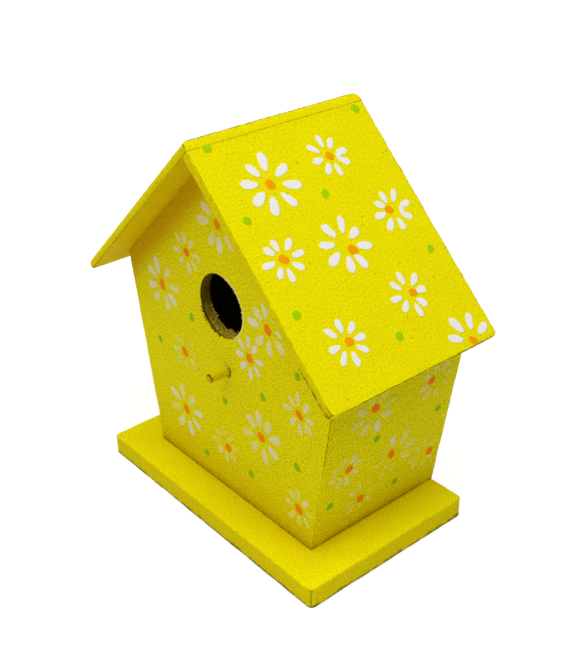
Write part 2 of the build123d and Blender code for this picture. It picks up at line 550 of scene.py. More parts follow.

# %% [markdown]
# ## The materials
#
# A material puts the groups together and keeps the shader itself, the Principled BSDF.
# The paint is a matt craft acrylic: rough, with a very weak, yellow-tinted reflection, because
# a strong white one would wash this very pure yellow out. The undersides of the roof are the
# same material over a darker, warmer colour: painted shade under the eaves.


# %% Material helpers
LEMON = (0.83, 0.755, 0.001, 1)
# painted shade: the lemon of the roof undersides, darker and warmer
EAVE_SHADE_LEMON = (0.79, 0.60, 0.001, 1)
# painted shade: the colour of the soft darkening near joints
CORNER_SHADE = (0.48, 0.25, 0.002, 1)
SEAM = (0.055, 0.038, 0.002, 1)
# painted highlight: the pale line along the entrance rim's upper right
PALE_HIGHLIGHT = (0.88, 0.85, 0.42, 1)


def new_material(name, **sockets):
    """A material with its Principled BSDF, and values set on the shader's own sockets."""
    material = bpy.data.materials.new(name)
    material.use_nodes = True
    wire = Wiring(material.node_tree)
    shader = material.node_tree.nodes["Principled BSDF"]
    for label, value in sockets.items():
        shader.inputs[label.replace("_", " ")].default_value = value
    return material, wire, shader


def use_group(wire, group, inputs):
    """A node that uses a group, with its inputs filled."""
    return wire.add("ShaderNodeGroup", inputs, node_tree=group)


def band_mask(wire, distance, reach, raggedness, broken=0.0, break_size=4 * MM):
    """The mask of a ragged band, by how far each place is from where the mark starts."""
    inputs = {"Distance": distance, "Reach": reach, "Raggedness": raggedness}
    inputs.update({"Broken": broken, "Break Size": break_size, "Place": wire.given("place", "Vector")})
    return wire.out(use_group(wire, ragged_band, inputs))


def join_shader(wire, shader, colour, height, depth, roughness=None):
    """Joins a colour, a height through a Bump node, and perhaps a roughness to the shader."""
    wire.link(colour, shader, "Base Color")
    if roughness is not None:
        wire.link(roughness, shader, "Roughness")
    bump = wire.add("ShaderNodeBump", {"Height": height, "Distance": depth, "Strength": 1.0})
    wire.link(bump.outputs["Normal"], shader, "Normal")


def sandy_values(wire):
    """Tooth and specks for brushed paint, by how sandy the mesh says its board is."""
    sandy = wire.given("sandy")
    return {"Tooth": wire.ramp(sandy, 0, 1, 0.45, 1.40), "Specks": wire.ramp(sandy, 0, 1, 0.03, 0.24)}


# %% Materials: painted board and bare wood
PLAIN_GAP = 0.60 * MM  # how wide the dark line of a plain gap is


def make_painted_board(name, coat):
    """Brushed paint with painted shade near joints, under the overhang, at wall feet and on narrow sides, a
    painted highlight at the entrance rim, dark seams and crumbs, and rubbed edges.
    """
    material, wire, shader = new_material(
        name, Specular_IOR_Level=0.02, Specular_Tint=(1.0, 0.80, 0.05, 1)
    )
    place = wire.given("place", "Vector")
    scuffed = wire.given("scuffed")
    joint = wire.given("joint")
    paint = use_group(wire, brushed_paint, {"Colour": coat, "Place": place, **sandy_values(wire)})
    # Painted shade: a soft band that darkens the paint up to 6 mm out from a joint, weighted per joint.
    soft = band_mask(wire, joint, 6 * MM, 0.45)
    seam = band_mask(wire, wire.given("gap"), PLAIN_GAP, 0.7, wire.given("broken"), 1.5 * MM)
    rub_reach = wire.plus(wire.times(scuffed, 0.9 * MM), 0.20 * MM)
    rub_break = wire.minus(0.60, wire.times(scuffed, 0.6))
    rubbed = band_mask(wire, wire.given("edge"), rub_reach, 0.9, rub_break)

    # Painted shade: the paint turns darker and ochre where the overhang's shadow falls, at wall feet, beside
    # the walls and on narrow sides.
    aged = wire.mix(wire.given("aged"), paint.outputs["Colour"], (0.82, 0.58, 1.0, 1), "MULTIPLY")
    shade_and_dirt = wire.times(soft, wire.given("settled"))
    colour = wire.mix(wire.times(shade_and_dirt, 0.50), aged, CORNER_SHADE)
    crack = wire.times(seam, wire.given("open"))
    colour = wire.mix(crack, colour, SEAM)
    crumbs = wire.ramp(wire.cloud(place, 1.7 * MM, 1), 0.59, 0.64)
    crumbs = wire.times(crumbs, wire.ramp(wire.cloud(place, 8 * MM, 1), 0.50, 0.60))
    crumbs = wire.times(crumbs, wire.ramp(joint, 0.8 * MM, 3.0 * MM, 0.95, 0.0))
    colour = wire.mix(wire.times(crumbs, wire.given("settled")), colour, SEAM)
    rub = wire.times(rubbed, wire.ramp(scuffed, 0.0, 0.5, 0.16, 0.90))
    colour = wire.mix(rub, colour, SEAM)
    # Painted highlight: a pale line along the entrance rim's upper right, where the rounded rim catches
    # light.
    patches = wire.ramp(wire.cloud(place, 1.1 * MM, 2), 0.34, 0.50)
    highlight = wire.times(wire.ramp(wire.given("bare"), 0.30, 0.62), patches)
    colour = wire.mix(highlight, colour, PALE_HIGHLIGHT)
    worn = wire.plus(crack, rubbed)
    height = wire.minus(paint.outputs["Height"], wire.times(worn, 1.5))
    join_shader(wire, shader, colour, height, 0.12 * MM, paint.outputs["Roughness"])
    return material


def make_bare_wood(name, pale, dark):
    """Wood fibre without paint."""
    material, wire, shader = new_material(name, Roughness=0.8, Specular_IOR_Level=0.1)
    wood = use_group(wire, wood_fibre, {"Place": wire.given("place", "Vector"), "Pale": pale, "Dark": dark})
    join_shader(wire, shader, wood.outputs["Colour"], wood.outputs["Height"], 0.2 * MM)
    return material


def make_stained_bore():
    """The sawn bore: plies of the thin board as rings at their own depths, under smeared paint."""
    material, wire, shader = new_material("stained_bore", Roughness=0.8, Specular_IOR_Level=0.02)
    place = wire.given("place", "Vector")
    parts = wire.add("ShaderNodeSeparateXYZ", {0: place})
    around = wire.stretch(place, (0.35, 0.35, 2.0))
    fibres = wire.cloud(around, 0.7 * MM, 3)
    stray = wire.swing(wire.cloud(place, 2.5 * MM, 2), 1.6 * MM)
    depth = wire.minus(stray, parts.outputs["Z"])
    smeared = wire.given("smeared")
    smear = wire.ramp(depth, 0.7 * MM, 5.0 * MM, 1.0, 0.50)
    smear = wire.times(smear, wire.ramp(smeared, 0.0, 0.7, 0.12, 1.0))
    brown = wire.mix(fibres, (0.050, 0.026, 0.002, 1), (0.20, 0.135, 0.006, 1))
    ochre = wire.mix(wire.ramp(fibres, 0.3, 0.7), (0.34, 0.20, 0.004, 1), (0.95, 0.78, 0.05, 1))
    colour = wire.mix(smear, brown, ochre)
    lip = wire.ramp(depth, 0.3 * MM, 1.1 * MM, 0.85, 0.0)
    lip = wire.times(lip, wire.ramp(smeared, 0.3, 1.0, 1.0, 0.45))
    colour = wire.mix(lip, colour, (0.10, 0.060, 0.002, 1))
    join_shader(wire, shader, colour, fibres, 0.3 * MM)
    return material


lemon_paint = make_painted_board("lemon_paint", LEMON)
eave_shade_paint = make_painted_board("thin_lemon_paint", EAVE_SHADE_LEMON)
bare_wood = make_bare_wood("bare_wood", (0.42, 0.27, 0.10, 1), (0.16, 0.09, 0.03, 1))
bore_wood = make_stained_bore()
print("materials:", lemon_paint.name, eave_shade_paint.name, bare_wood.name, bore_wood.name)

# %% [markdown]
# ## Where the piece is worn
#
# Wear isn't random: it sits on corners that get knocked and along the feet of the walls.
# Each worn stretch is a line between two points with a reach and a strength, and the points
# come from the boards' measured boxes, so the wear stays on its corner.

# %% Worn stretches
base_low, base_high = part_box("base_board")
side_low, side_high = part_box("right_wall")

WALL_HALF_WIDTH = 61
front_foot_right = boards["front_wall"].at(WALL_HALF_WIDTH, 0)
wall_corners = [corner for corner, _ in boards["front_wall"].outline]
front_shoulder = max(wall_corners, key=lambda corner: corner.x)
roof_right, roof_left = boards["right_roof_panel"], boards["left_roof_panel"]
RIM = -2.5  # the middle of a roof panel's thickness, in mm below its face
ridge_front = roof_left.at(-roof_left.half_width, roof_left.height)
ridge_back = roof_left.at(roof_left.half_width, roof_left.height)
if ridge_front.y > ridge_back.y:
    ridge_front, ridge_back = ridge_back, ridge_front
eave_front = roof_right.at(-roof_right.half_width, 0, RIM)
eave_back = roof_right.at(roof_right.half_width, 0, RIM)
base_edges = [
    (Vector((x, y, 0)), Vector((x, y, base_high.z)))
    for x in (base_low.x, base_high.x)
    for y in (base_low.y, base_high.y)
]
far_eave_front = roof_left.at(roof_left.half_width, 0, RIM)
far_eave_back = roof_left.at(-roof_left.half_width, 0, RIM)
rake_crack = roof_right.at(-roof_right.half_width, 0.5, 1.35 * RIM)
rake_crack_top = roof_right.at(-roof_right.half_width, 24, 1.75 * RIM)
RAKE_CRACK_REACH = 2.5 * MM
RAKE_CRACK_WIDTH = 1.9  # in widths of a plain gap
side_foot_back = Vector((side_high.x, side_high.y, side_low.z))
worn_stretches = [
    # (start, end, reach in metres, strength)
    (ridge_front, ridge_front, 0.0055, 1.0),
    (ridge_back, ridge_back, 0.006, 0.5),
    (ridge_front, ridge_back, 0.004, 0.80),
    (eave_front, eave_front, 0.006, 1.0),
    (eave_back, eave_back, 0.006, 0.7),
    (eave_front, eave_back, 0.006, 0.75),
    (ridge_front, eave_front, 0.009, 0.20),
    (ridge_back, eave_back, 0.006, 0.80),
    (ridge_front, far_eave_front, 0.006, 0.55),
    (ridge_back, far_eave_back, 0.009, 0.30),
    (far_eave_front, far_eave_back, 0.008, 0.35),
    (*base_edges[0], 0.003, 0.5),
    (*base_edges[1], 0.003, 0.4),
    (*base_edges[2], 0.0025, 0.9),
    (*base_edges[3], 0.003, 0.5),
    (front_shoulder, front_foot_right.lerp(front_shoulder, 0.5), 0.002, 0.42),
    (side_foot_back, side_foot_back, 0.004, 0.8),
]
# (node, corner, axis, radius in metres) where the outline's corner is knocked round
round_corners = [
    ("left_roof_panel", ridge_front, roof_right.out, 0.0032),
    ("left_roof_panel", ridge_back, roof_right.out, 0.0048),
    ("right_roof_panel", roof_right.at(-roof_right.half_width, 0), roof_right.out, 0.0044),
    ("right_roof_panel", roof_right.at(roof_right.half_width, 0), roof_right.out, 0.0030),
]
# (corner, radius in metres) where a corner is worn to a ball
worn_balls = [(far_eave_front, 0.0022), (far_eave_back, 0.0026)]


def line_gap(points, start, end):
    """How far points are from a line between two corners."""
    start, line = np.array(start), np.array(end - start)
    share = ((points - start) @ line) / max(line @ line, 1e-12)
    nearest = start + share.clip(0, 1)[:, None] * line
    return np.linalg.norm(points - nearest, axis=1)


def wear_at(points):
    """How worn each point is, from 0 to 1."""
    worn = np.zeros(len(points))
    for start, end, reach, strength in worn_stretches:
        gap = line_gap(points, start, end)
        worn = np.maximum(worn, strength * (1 - gap / reach).clip(0, 1))
    return worn


def radius_at(points, joint):
    """How round each point's edges are: eased where free, and most at a corner worn to a ball."""
    radius = 0.45 * MM * ((joint / MM - 0.5) / 2).clip(0, 1)
    for corner, size in worn_balls:
        gap = np.linalg.norm(points - np.array(corner), axis=1)
        radius = np.maximum(radius, size * (1 - gap / (3.2 * size)).clip(0, 1))
    return radius


print(len(worn_stretches), "worn stretches and", len(round_corners + worn_balls), "round corners")

# %% [markdown]
# ## From a measured board to a finished one
#
# A board needs more corners than its eight before it can be dented, and the masks need
# distances stored on them. Subdividing would round the shape off. Scoring it with cutting
# planes keeps each side flat and true: first along the sides of its neighbours, so that a
# seam starts exactly at the joint, then just inside its own edges, where wear shows, and
# then in a two-millimetre grid.


# %% Dressing a board
SCORE = 2 * MM
EDGE_SCORES = (0.5, 1.1, 1.8, 2.6, 3.5)  # mm in from a board's own edges


def linked_object(name, mesh):
    """A new object at the origin with this mesh."""
    piece = bpy.data.objects.new(name, mesh)
    bpy.context.scene.collection.objects.link(piece)
    return piece


def score(solid, point, normal):
    """Cuts every face that a plane crosses, and keeps both parts."""
    everything = solid.verts[:] + solid.edges[:] + solid.faces[:]
    bmesh.ops.bisect_plane(solid, geom=everything, dist=1e-6, plane_co=point, plane_no=normal)


def score_board(solid, board):
    """Scores a board along its neighbours' sides and in a grid."""
    corners = corners_of(solid.verts)
    for neighbour in boards.values():
        if neighbour is board:
            continue
        for point, normal in zip(neighbour.side_points, neighbour.side_normals):
            reach = (corners - point) @ normal
            if reach.min() < -0.3 * MM and reach.max() > 0.3 * MM:
                score(solid, point, normal)
    for point, normal in zip(board.side_points, board.side_normals):
        for depth in EDGE_SCORES:
            score(solid, point - normal * depth * MM, normal)
    own = board.own(corners)
    for axis, direction in ((0, board.across), (1, board.along)):
        low, high = own[:, axis].min(), own[:, axis].max()
        for step in range(1, math.ceil((high - low) / SCORE)):
            place = board.origin + direction * (low + step * SCORE)
            score(solid, place, direction)


def indoors(points):
    """True where a point lies on or inside the faces that line the nest space."""
    inside = np.ones(len(points), bool)
    for board in boards.values():
        inside &= (points - board.inner_point) @ board.inner_normal > -0.1 * MM
    return inside


def store(mesh, name, values, kind="FLOAT"):
    """Stores one value per corner as a named attribute."""
    attribute = mesh.attributes.new(name, kind, "POINT")
    field = "vector" if kind == "FLOAT_VECTOR" else "value"
    attribute.data.foreach_set(field, np.asarray(values, np.float32).ravel())


def joint_look(one, other):
    """The weight of painted shade and dark crumbs where two boards meet, and how open, wide and broken the
    joint is.
    """
    pair = one + " " + other
    if "base" in pair:
        return (0.9, 0.9, 1.2, 0.58) if "wall" in one else (0.05, 0.5, 0.7, 0.68)
    if one.endswith("panel") and other.endswith("panel"):
        return 0.1, 0.38, 0.80, 0.45
    if "panel" in pair:
        side = "right_wall" in pair or "left_wall" in pair
        return (0.3, 0.9, 1.6, 0.32) if side else (0.2, 0.0, 1.0, 0.5)
    return 0.0, 0.0, 1.0, 0.5


# Painted shadow: a dark line along the base's lower edge, where it stands on the ground.
CONTACT_SHADOW_LOOK = (0.0, 1.0, 4.7, 0.0)
CONTACT_SHADOW_RIM = 1.0 * MM  # how far the dark ground line goes in under the base before it fades


def joints_near(board, points):
    """Per point: how far the nearest joint is, then that joint's look.

    The base also meets the ground, along its lower edge only: its underside stays clean."""
    others = [b for b in boards.values() if b is not board]
    gaps = [b.clearance(points) for b in others]
    looks = [joint_look(board.node, b.node) for b in others]
    # The base's lower edge gets a painted contact shadow where it meets the ground.
    if board.node == "base_board":
        under = 3 * (board.inset(points) - CONTACT_SHADOW_RIM).clip(0)
        gaps.append(np.hypot(points[:, 2] - cad_low.z, under))
        looks.append(CONTACT_SHADOW_LOOK)
    return np.min(gaps, axis=0), *np.array(looks)[np.argmin(gaps, axis=0)].T


def painted_shade_at(board, points):
    """How much ochre painted shade each point gets: the overhang's shadow on a wall, shade at a wall's foot
    and beside the walls on the base, and darker narrow sides.
    """
    if board.node == "base_board":
        walls = [b for b in boards.values() if "wall" in b.node]
        near = 1 - np.min([wall.clearance(points) for wall in walls], axis=0) / (18 * MM)
        return np.maximum(0.28 * board.rim_share(points), 0.36 * near.clip(0))
    if board.node.endswith("panel"):
        return 0.24 * board.rim_share(points) * board.end_share(points)
    panels = [b for b in boards.values() if b.node.endswith("panel")]
    corners = np.array([v.co for panel in panels for v in panel.solid.verts])
    overhang = max(((corners - np.array(board.origin)) @ np.array(board.out)).max(), 0.1 * MM)
    below = np.min([(points - panel.inner_point) @ panel.inner_normal for panel in panels], axis=0)
    under_roof = (1.05 - below.clip(0) / overhang).clip(0, 1)
    foot = (1 - (points[:, 2] - base_high.z) / (42 * MM)).clip(0, 1)
    return np.maximum(1.25 * under_roof**2 * (3 - 2 * under_roof), 0.50 * foot**2)


DENT_REACH = 1.6 * MM  # how far in from an edge its dents go


def unevenness(points, own, edge, worn):
    """How far each point leaves the flat, in metres: slow waves, small dents at the edges."""
    lift = np.zeros(len(points))
    for index, (place, rim, wear) in enumerate(zip(own, edge, worn)):
        place = Vector(place)
        lift[index] = 0.035 * noise.noise(place / (11 * MM)) + 0.012 * noise.noise(place / (4 * MM))
        if rim < DENT_REACH:
            sag = max(0.0, noise.noise(place / (13 * MM)) + 0.1) * 0.40
            dent = max(0.0, noise.noise(place / (3.1 * MM)) - 0.20) * 0.40
            chip = wear * max(0.0, 0.25 + noise.noise(place / (1.7 * MM))) * 0.45
            lift[index] -= (sag + dent + chip) * (1 - rim / DENT_REACH)
    return lift * MM


def torn_at(spoke):
    """How torn a bore's rim is in each direction: most at the lower left."""
    turn = np.arctan2(spoke[:, 1], spoke[:, 0])
    return (np.cos(turn - math.radians(232)) - 0.35).clip(0) / 0.65


def toward(spoke, turn, spread):
    """One in a direction round a bore, fading to zero this far round from it, in degrees."""
    away = np.degrees(np.arctan2(spoke[:, 1], spoke[:, 0])) - turn
    away = np.abs((away + 180) % 360 - 180)
    return (1 - away / spread).clip(0, 1)


def ragged_rim(board, own, spoke, past_rim):
    """Moves a bore's rim in and out along its spokes, by how torn it is there."""
    places = np.column_stack([spoke * 0.9, own[:, 2] / MM * 0.5])
    wave = np.array([noise.noise(Vector(place)) for place in places])
    torn = 0.75 * torn_at(spoke) + 0.30 * toward(spoke, 48, 50)
    amount = (0.10 + torn) * (1 - np.abs(past_rim) / 1.2).clip(0)
    outward = spoke / np.maximum(np.linalg.norm(spoke, axis=1), 0.01)[:, None]
    flat = outward * (wave * amount)[:, None] * MM
    return flat @ board.axes[:2]


finishes = (lemon_paint, eave_shade_paint, bare_wood, bore_wood)
EAVE_SHADE, UNPAINTED, BORE = 1, 2, 3  # places in the list of finishes
SQUARE_ON = 0.9  # the cosine past which a face looks the way a side does
# How sandy each coat is. A board that isn't listed has 1.0.
SANDY = {"base_board": 0.25, "front_wall": 0.64, "left_roof_panel": 0.18, "right_roof_panel": 0.18}


def sandiness(board, points):
    """How sandy a board's coat is, once for each point."""
    return np.full(len(points), SANDY.get(board.node, 1.0))


def finish_of_faces(mesh, board, bores):
    """Which of the finishes each face shows."""
    centres = np.array([f.center for f in mesh.polygons])
    facing = np.array([f.normal for f in mesh.polygons]) @ board.inner_normal
    finish = np.zeros(len(centres), int)
    # Roof undersides take the darker lemon: painted shade under the eaves.
    if board.node.endswith("panel"):
        finish[facing > SQUARE_ON] = EAVE_SHADE
    finish[indoors(centres) & (facing > SQUARE_ON)] = UNPAINTED
    for centre, radius in bores:
        gap = np.linalg.norm(board.own(centres)[:, :2] / MM - centre, axis=1)
        finish[(gap < radius + 0.1) & (np.abs(facing) < 0.3)] = BORE
    return finish


def finish_board(solid, board, name, bores=()):
    """Scores, dents and measures a solid, and puts it in place of its CAD node.

    Each bore is a centre and a radius on the board's face, in millimetres."""
    score_board(solid, board)
    bmesh.ops.recalc_face_normals(solid, faces=solid.faces)
    mesh = mesh_of(solid, name)
    points = corners_of(mesh.vertices)
    normals = np.array([v.normal for v in mesh.vertices])
    own = board.own(points)
    edge = board.edge_distance(points)
    joint, shade_and_dirt, shows, width, broken = joints_near(board, points)
    if board.node != "base_board":
        # An edge that another board covers is sheltered from wear.
        edge += (1.5 * MM - joint).clip(0)
    gap_share = joint / width
    if board is roof_right:
        crack = line_gap(points, rake_crack, rake_crack_top)
        split = crack < RAKE_CRACK_REACH
        gap_share = np.where(split, np.minimum(gap_share, crack / RAKE_CRACK_WIDTH), gap_share)
        shows, broken = np.where(split, 1.0, shows), np.where(split, 0.20, broken)
    worn = wear_at(points)
    lift = normals * unevenness(points, own, edge, worn)[:, None]
    if board.node.endswith("panel"):
        lift += board.rounding(points, radius_at(points, joint))
    for node, corner, axis, radius in round_corners:
        if node == board.node:
            lift += board.knocked_corner(points, corner, axis, radius)
    bare, smeared = np.zeros(len(points)), np.zeros(len(points))
    for centre, radius in bores:
        spoke = own[:, :2] / MM - centre
        gap = np.linalg.norm(spoke, axis=1)
        lift += ragged_rim(board, own, spoke, gap - radius)
        edge = np.minimum(edge, np.abs(gap - radius) * MM)
        worn = np.maximum(worn, torn_at(spoke) * (gap < radius + 3))
        # painted highlight along the rim's upper right
        bare = (1 - np.abs(gap - radius) / 1.1).clip(0) * toward(spoke, 10, 110).clip(0, 0.5) * 2
        smeared = toward(spoke, 285, 95)
    store(mesh, "place", own, "FLOAT_VECTOR")
    masks = {
        "edge": edge,
        "joint": joint,
        "gap": gap_share,
        "settled": shade_and_dirt,
        "open": shows,
        "broken": broken,
        "sandy": sandiness(board, points),
        "aged": painted_shade_at(board, points),
        "scuffed": worn,
        "bare": bare,
        "smeared": smeared,
    }
    for mask, values in masks.items():
        store(mesh, mask, values)
    finish = finish_of_faces(mesh, board, bores)
    # The board stands flat, so no wave or dent reaches below the ground.
    moved = points + lift
    moved[:, 2] = moved[:, 2].clip(cad_low.z)
    mesh.vertices.foreach_set("co", moved.astype(np.float32).ravel())
    mesh.polygons.foreach_set("material_index", finish)
    for material in finishes:
        mesh.materials.append(material)
    mesh.update()
    piece = linked_object(name, mesh)
    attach(piece, "root")
    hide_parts(board.node)
    print(name, "has", len(mesh.polygons), "faces")
    return piece


def soften(solid, edges, width, steps):
    """Rounds sharp edges as sanding and paint do."""
    bmesh.ops.bevel(
        solid, geom=edges, offset=width, segments=steps, profile=0.5, affect="EDGES", clamp_overlap=True
    )


def free_edges(solid, board):
    """The sharp edges that aren't glued along another board."""
    others = [b for b in boards.values() if b is not board]
    found = []
    for edge in solid.edges:
        ends = corners_of(edge.verts)
        glued = min(other.clearance(ends).max() for other in others) < 0.05 * MM
        if edge.calc_face_angle(0) > math.radians(30) and not glued:
            found.append(edge)
    return found


# %% Base, back, side walls and roof
EASED = 0.35 * MM
plain_boards = ("base_board", "back_wall", "left_wall", "right_wall", "left_roof_panel", "right_roof_panel")
dressed = {}
for node in plain_boards:
    board = boards[node]
    solid = board.solid.copy()
    if "wall" in node:
        soften(solid, free_edges(solid, board), EASED, 2)
    dressed[node] = finish_board(solid, board, "painted_" + node)

# %% [markdown]
# ## The front wall and its entrance
#
# The entrance was sawn through thin board and painted afterwards, so its rim is soft and a
# little torn, and the bore behind it shows brown fibres. A Boolean cuts the clean hole, a
# bevel rounds its rim, and then the rim's corners are pushed about: more at the lower left,
# where the saw came out and lifted the paint.


# %% Front wall
front = boards["front_wall"]
opening = next(o for o in frame["record"]["physics"]["openings"] if o["name"] == "entrance_hole")
low, high = (np.array(corner) for corner in opening["box_m"])
entrance_centre = front.own(((low + high) / 2)[None])[0][:2] / MM
perch_low, perch_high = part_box("perch")
perch_centre = front.own(np.array([(perch_low + perch_high) / 2]))[0][:2] / MM


def bore_radius(centre):
    """The radius of the bore about a point of the front face, from the CAD wall's corners."""
    own = front.own(corners_of(nodes["front_wall"].data.vertices)) / MM
    rim = own[np.abs(own[:, 2]) < 0.01][:, :2]
    return float(np.linalg.norm(rim - centre, axis=1).min())


entrance_radius, perch_radius = bore_radius(entrance_centre), bore_radius(perch_centre)
print("entrance", entrance_centre.round(1), "mm, radius", round(entrance_radius, 2))
print("perch", perch_centre.round(1), "mm, radius", round(perch_radius, 2))


def cut_bore(solid, centre, radius, segments):
    """Cuts a round bore straight through the front wall and rounds its outer rim."""
    drill = bmesh.new()
    bmesh.ops.create_cone(
        drill, cap_ends=True, segments=segments, radius1=radius * MM, radius2=radius * MM, depth=0.05
    )
    turn = Matrix((front.across, front.along, front.out)).transposed().to_4x4()
    drill.transform(Matrix.Translation(front.at(*centre)) @ turn)
    made = []
    for name, shape in (("wall", solid), ("drill", drill)):
        made.append(linked_object(name, mesh_of(shape, name)))
    wall, tool = made
    cut = wall.modifiers.new("cut", "BOOLEAN")
    cut.operation = "DIFFERENCE"
    cut.solver = "EXACT"
    cut.object = tool
    graph = bpy.context.evaluated_depsgraph_get()
    result = bmesh.new()
    result.from_mesh(bpy.data.meshes.new_from_object(wall.evaluated_get(graph)))
    for scrap in made:
        bpy.data.objects.remove(scrap)
    return result


def rim_edges(solid, centre, radius):
    """The edges round a bore on the wall's outer face."""
    found = []
    for edge in solid.edges:
        own = front.own(corners_of(edge.verts)) / MM
        gap = np.linalg.norm(own[:, :2] - centre, axis=1)
        if np.abs(own[:, 2]).max() < 0.01 and np.abs(gap - radius).max() < 0.05:
            found.append(edge)
    return found


solid = front.solid.copy()
soften(solid, free_edges(solid, front), EASED, 2)
solid = cut_bore(solid, entrance_centre, entrance_radius, 96)
solid = cut_bore(solid, perch_centre, perch_radius, 32)
soften(solid, rim_edges(solid, entrance_centre, entrance_radius), 0.5 * MM, 3)
bores = [(entrance_centre, entrance_radius)]
dressed["front_wall"] = finish_board(solid, front, "painted_front_wall", bores)

# %% [markdown]
# Sawing tore fibres out of the lower left of the rim, and they were painted where they
# stood. They follow the rim, so a geometry tree sets them there: points along an arc, a
# splinter on each, turned and sized by chance. Dark ones stand on the outer face. A few
# short pale ones stand at the rim's upper right and by the perch, and long pale ones line
# the bore's indoor edge, where the thin board broke out.


# %% Geometry tree: torn fibres along an arc
def make_splinter():
    """One tapered, slightly bent splinter along X, one unit long and one thick."""
    shape = bmesh.new()
    rings = []
    for x, thick, bend in ((-0.25, 1.0, 0.0), (0.25, 0.9, 0.0), (0.65, 0.6, 0.12), (0.95, 0.25, 0.30)):
        turns = [2 * math.pi * step / 5 for step in range(5)]
        ring = [(x, thick * math.cos(a) / 2 + bend, thick * math.sin(a) / 2) for a in turns]
        rings.append([shape.verts.new(place) for place in ring])
    skin(shape, rings)
    close_ends(shape, rings)
    return linked_object("splinter", mesh_of(shape, "splinter"))


def make_fibre_tree():
    """Splinters set along an arc and turned by chance."""
    inputs = [
        ("Fibre", OBJECT, None),
        ("Centre", VECTOR, (0, 0, 0)),
        ("Across", VECTOR, (1, 0, 0)),
        ("Along", VECTOR, (0, 0, 1)),
        ("Count", COUNT, 30),
        ("Radius", NUMBER, 0.016),
        ("First Turn", NUMBER, 0.0),
        ("Last Turn", NUMBER, 1.0),
        ("Pointing", NUMBER, 0.0),
        ("Lean", NUMBER, 0.8),
        ("Length", NUMBER, 0.0012),
        ("Thickness", NUMBER, 0.0003),
        ("Seed", COUNT, 1),
        ("Material", MATERIAL, None),
    ]
    outputs = [("Fibres", GEOMETRY)]
    tree, wire, given, result = make_group("torn fibres", "GeometryNodeTree", inputs, outputs)
    tree.is_modifier = True
    use = given.outputs

    def chance(low, high, shift):
        """A random value for each fibre."""
        return wire.chance(use["Seed"], low, high, shift)

    def spoke(turn):
        """The way out from the centre at this turn."""
        across = wire.vector("SCALE", use["Across"], wire.math("COSINE", turn))
        along = wire.vector("SCALE", use["Along"], wire.math("SINE", turn))
        return wire.vector("ADD", across, along)

    index = wire.out(wire.add("GeometryNodeInputIndex"))
    share = wire.math("DIVIDE", wire.plus(index, chance(0.0, 1.0, 0)), use["Count"])
    sweep = wire.minus(use["Last Turn"], use["First Turn"])
    turn = wire.plus(use["First Turn"], wire.times(share, sweep))
    reach = wire.plus(use["Radius"], chance(-0.2 * MM, 0.2 * MM, 1))
    place = wire.vector("ADD", use["Centre"], wire.vector("SCALE", spoke(turn), reach))
    points = wire.add("GeometryNodeMeshLine", {"Count": use["Count"], "Offset": (0, 0, 0)})
    placed = wire.add("GeometryNodeSetPosition", {"Geometry": wire.out(points), "Position": place})
    lean = wire.times(chance(-1.0, 1.0, 2), use["Lean"])
    way = spoke(wire.plus(wire.plus(turn, use["Pointing"]), lean))
    out = wire.vector("CROSS_PRODUCT", use["Across"], use["Along"])
    risen = wire.laid_down(out, way, (0, 1, 0), chance(-0.45, 0.0, 3))
    length = wire.times(use["Length"], chance(0.45, 1.25, 4))
    thick = wire.times(use["Thickness"], chance(0.6, 1.2, 5))
    size = wire.add("ShaderNodeCombineXYZ", {"X": length, "Y": thick, "Z": thick})
    fibre = wire.add("GeometryNodeObjectInfo", {"Object": use["Fibre"]})
    copies = {
        "Points": wire.out(placed),
        "Instance": wire.out(fibre, "Geometry"),
        "Rotation": risen,
        "Scale": size.outputs[0],
    }
    set_there = wire.add("GeometryNodeInstanceOnPoints", copies)
    solid = wire.add("GeometryNodeRealizeInstances", {"Geometry": wire.out(set_there)})
    dressing = {"Geometry": wire.out(solid), "Material": use["Material"]}
    finished = wire.add("GeometryNodeSetMaterial", dressing)
    wire.link(wire.out(finished), result, "Fibres")
    return tree


def set_inputs(modifier, values):
    """Sets a geometry modifier's inputs by their sockets' identifiers."""
    sockets = modifier.node_group.interface.items_tree
    known = {s.name: s.identifier for s in sockets if s.in_out == "INPUT"}
    for name, value in values.items():
        modifier[known[name]] = value


def grow(piece, tree, values):
    """Runs a geometry tree on a piece and returns the plain mesh that it makes."""
    modifier = piece.modifiers.new(tree.name, "NODES")
    modifier.node_group = tree
    set_inputs(modifier, values)
    graph = bpy.context.evaluated_depsgraph_get()
    mesh = bpy.data.meshes.new_from_object(piece.evaluated_get(graph))
    piece.modifiers.clear()
    mesh.name = piece.name
    return mesh


fibre_tree = make_fibre_tree()
print("geometry tree:", fibre_tree.name, "with", len(fibre_tree.nodes), "nodes")

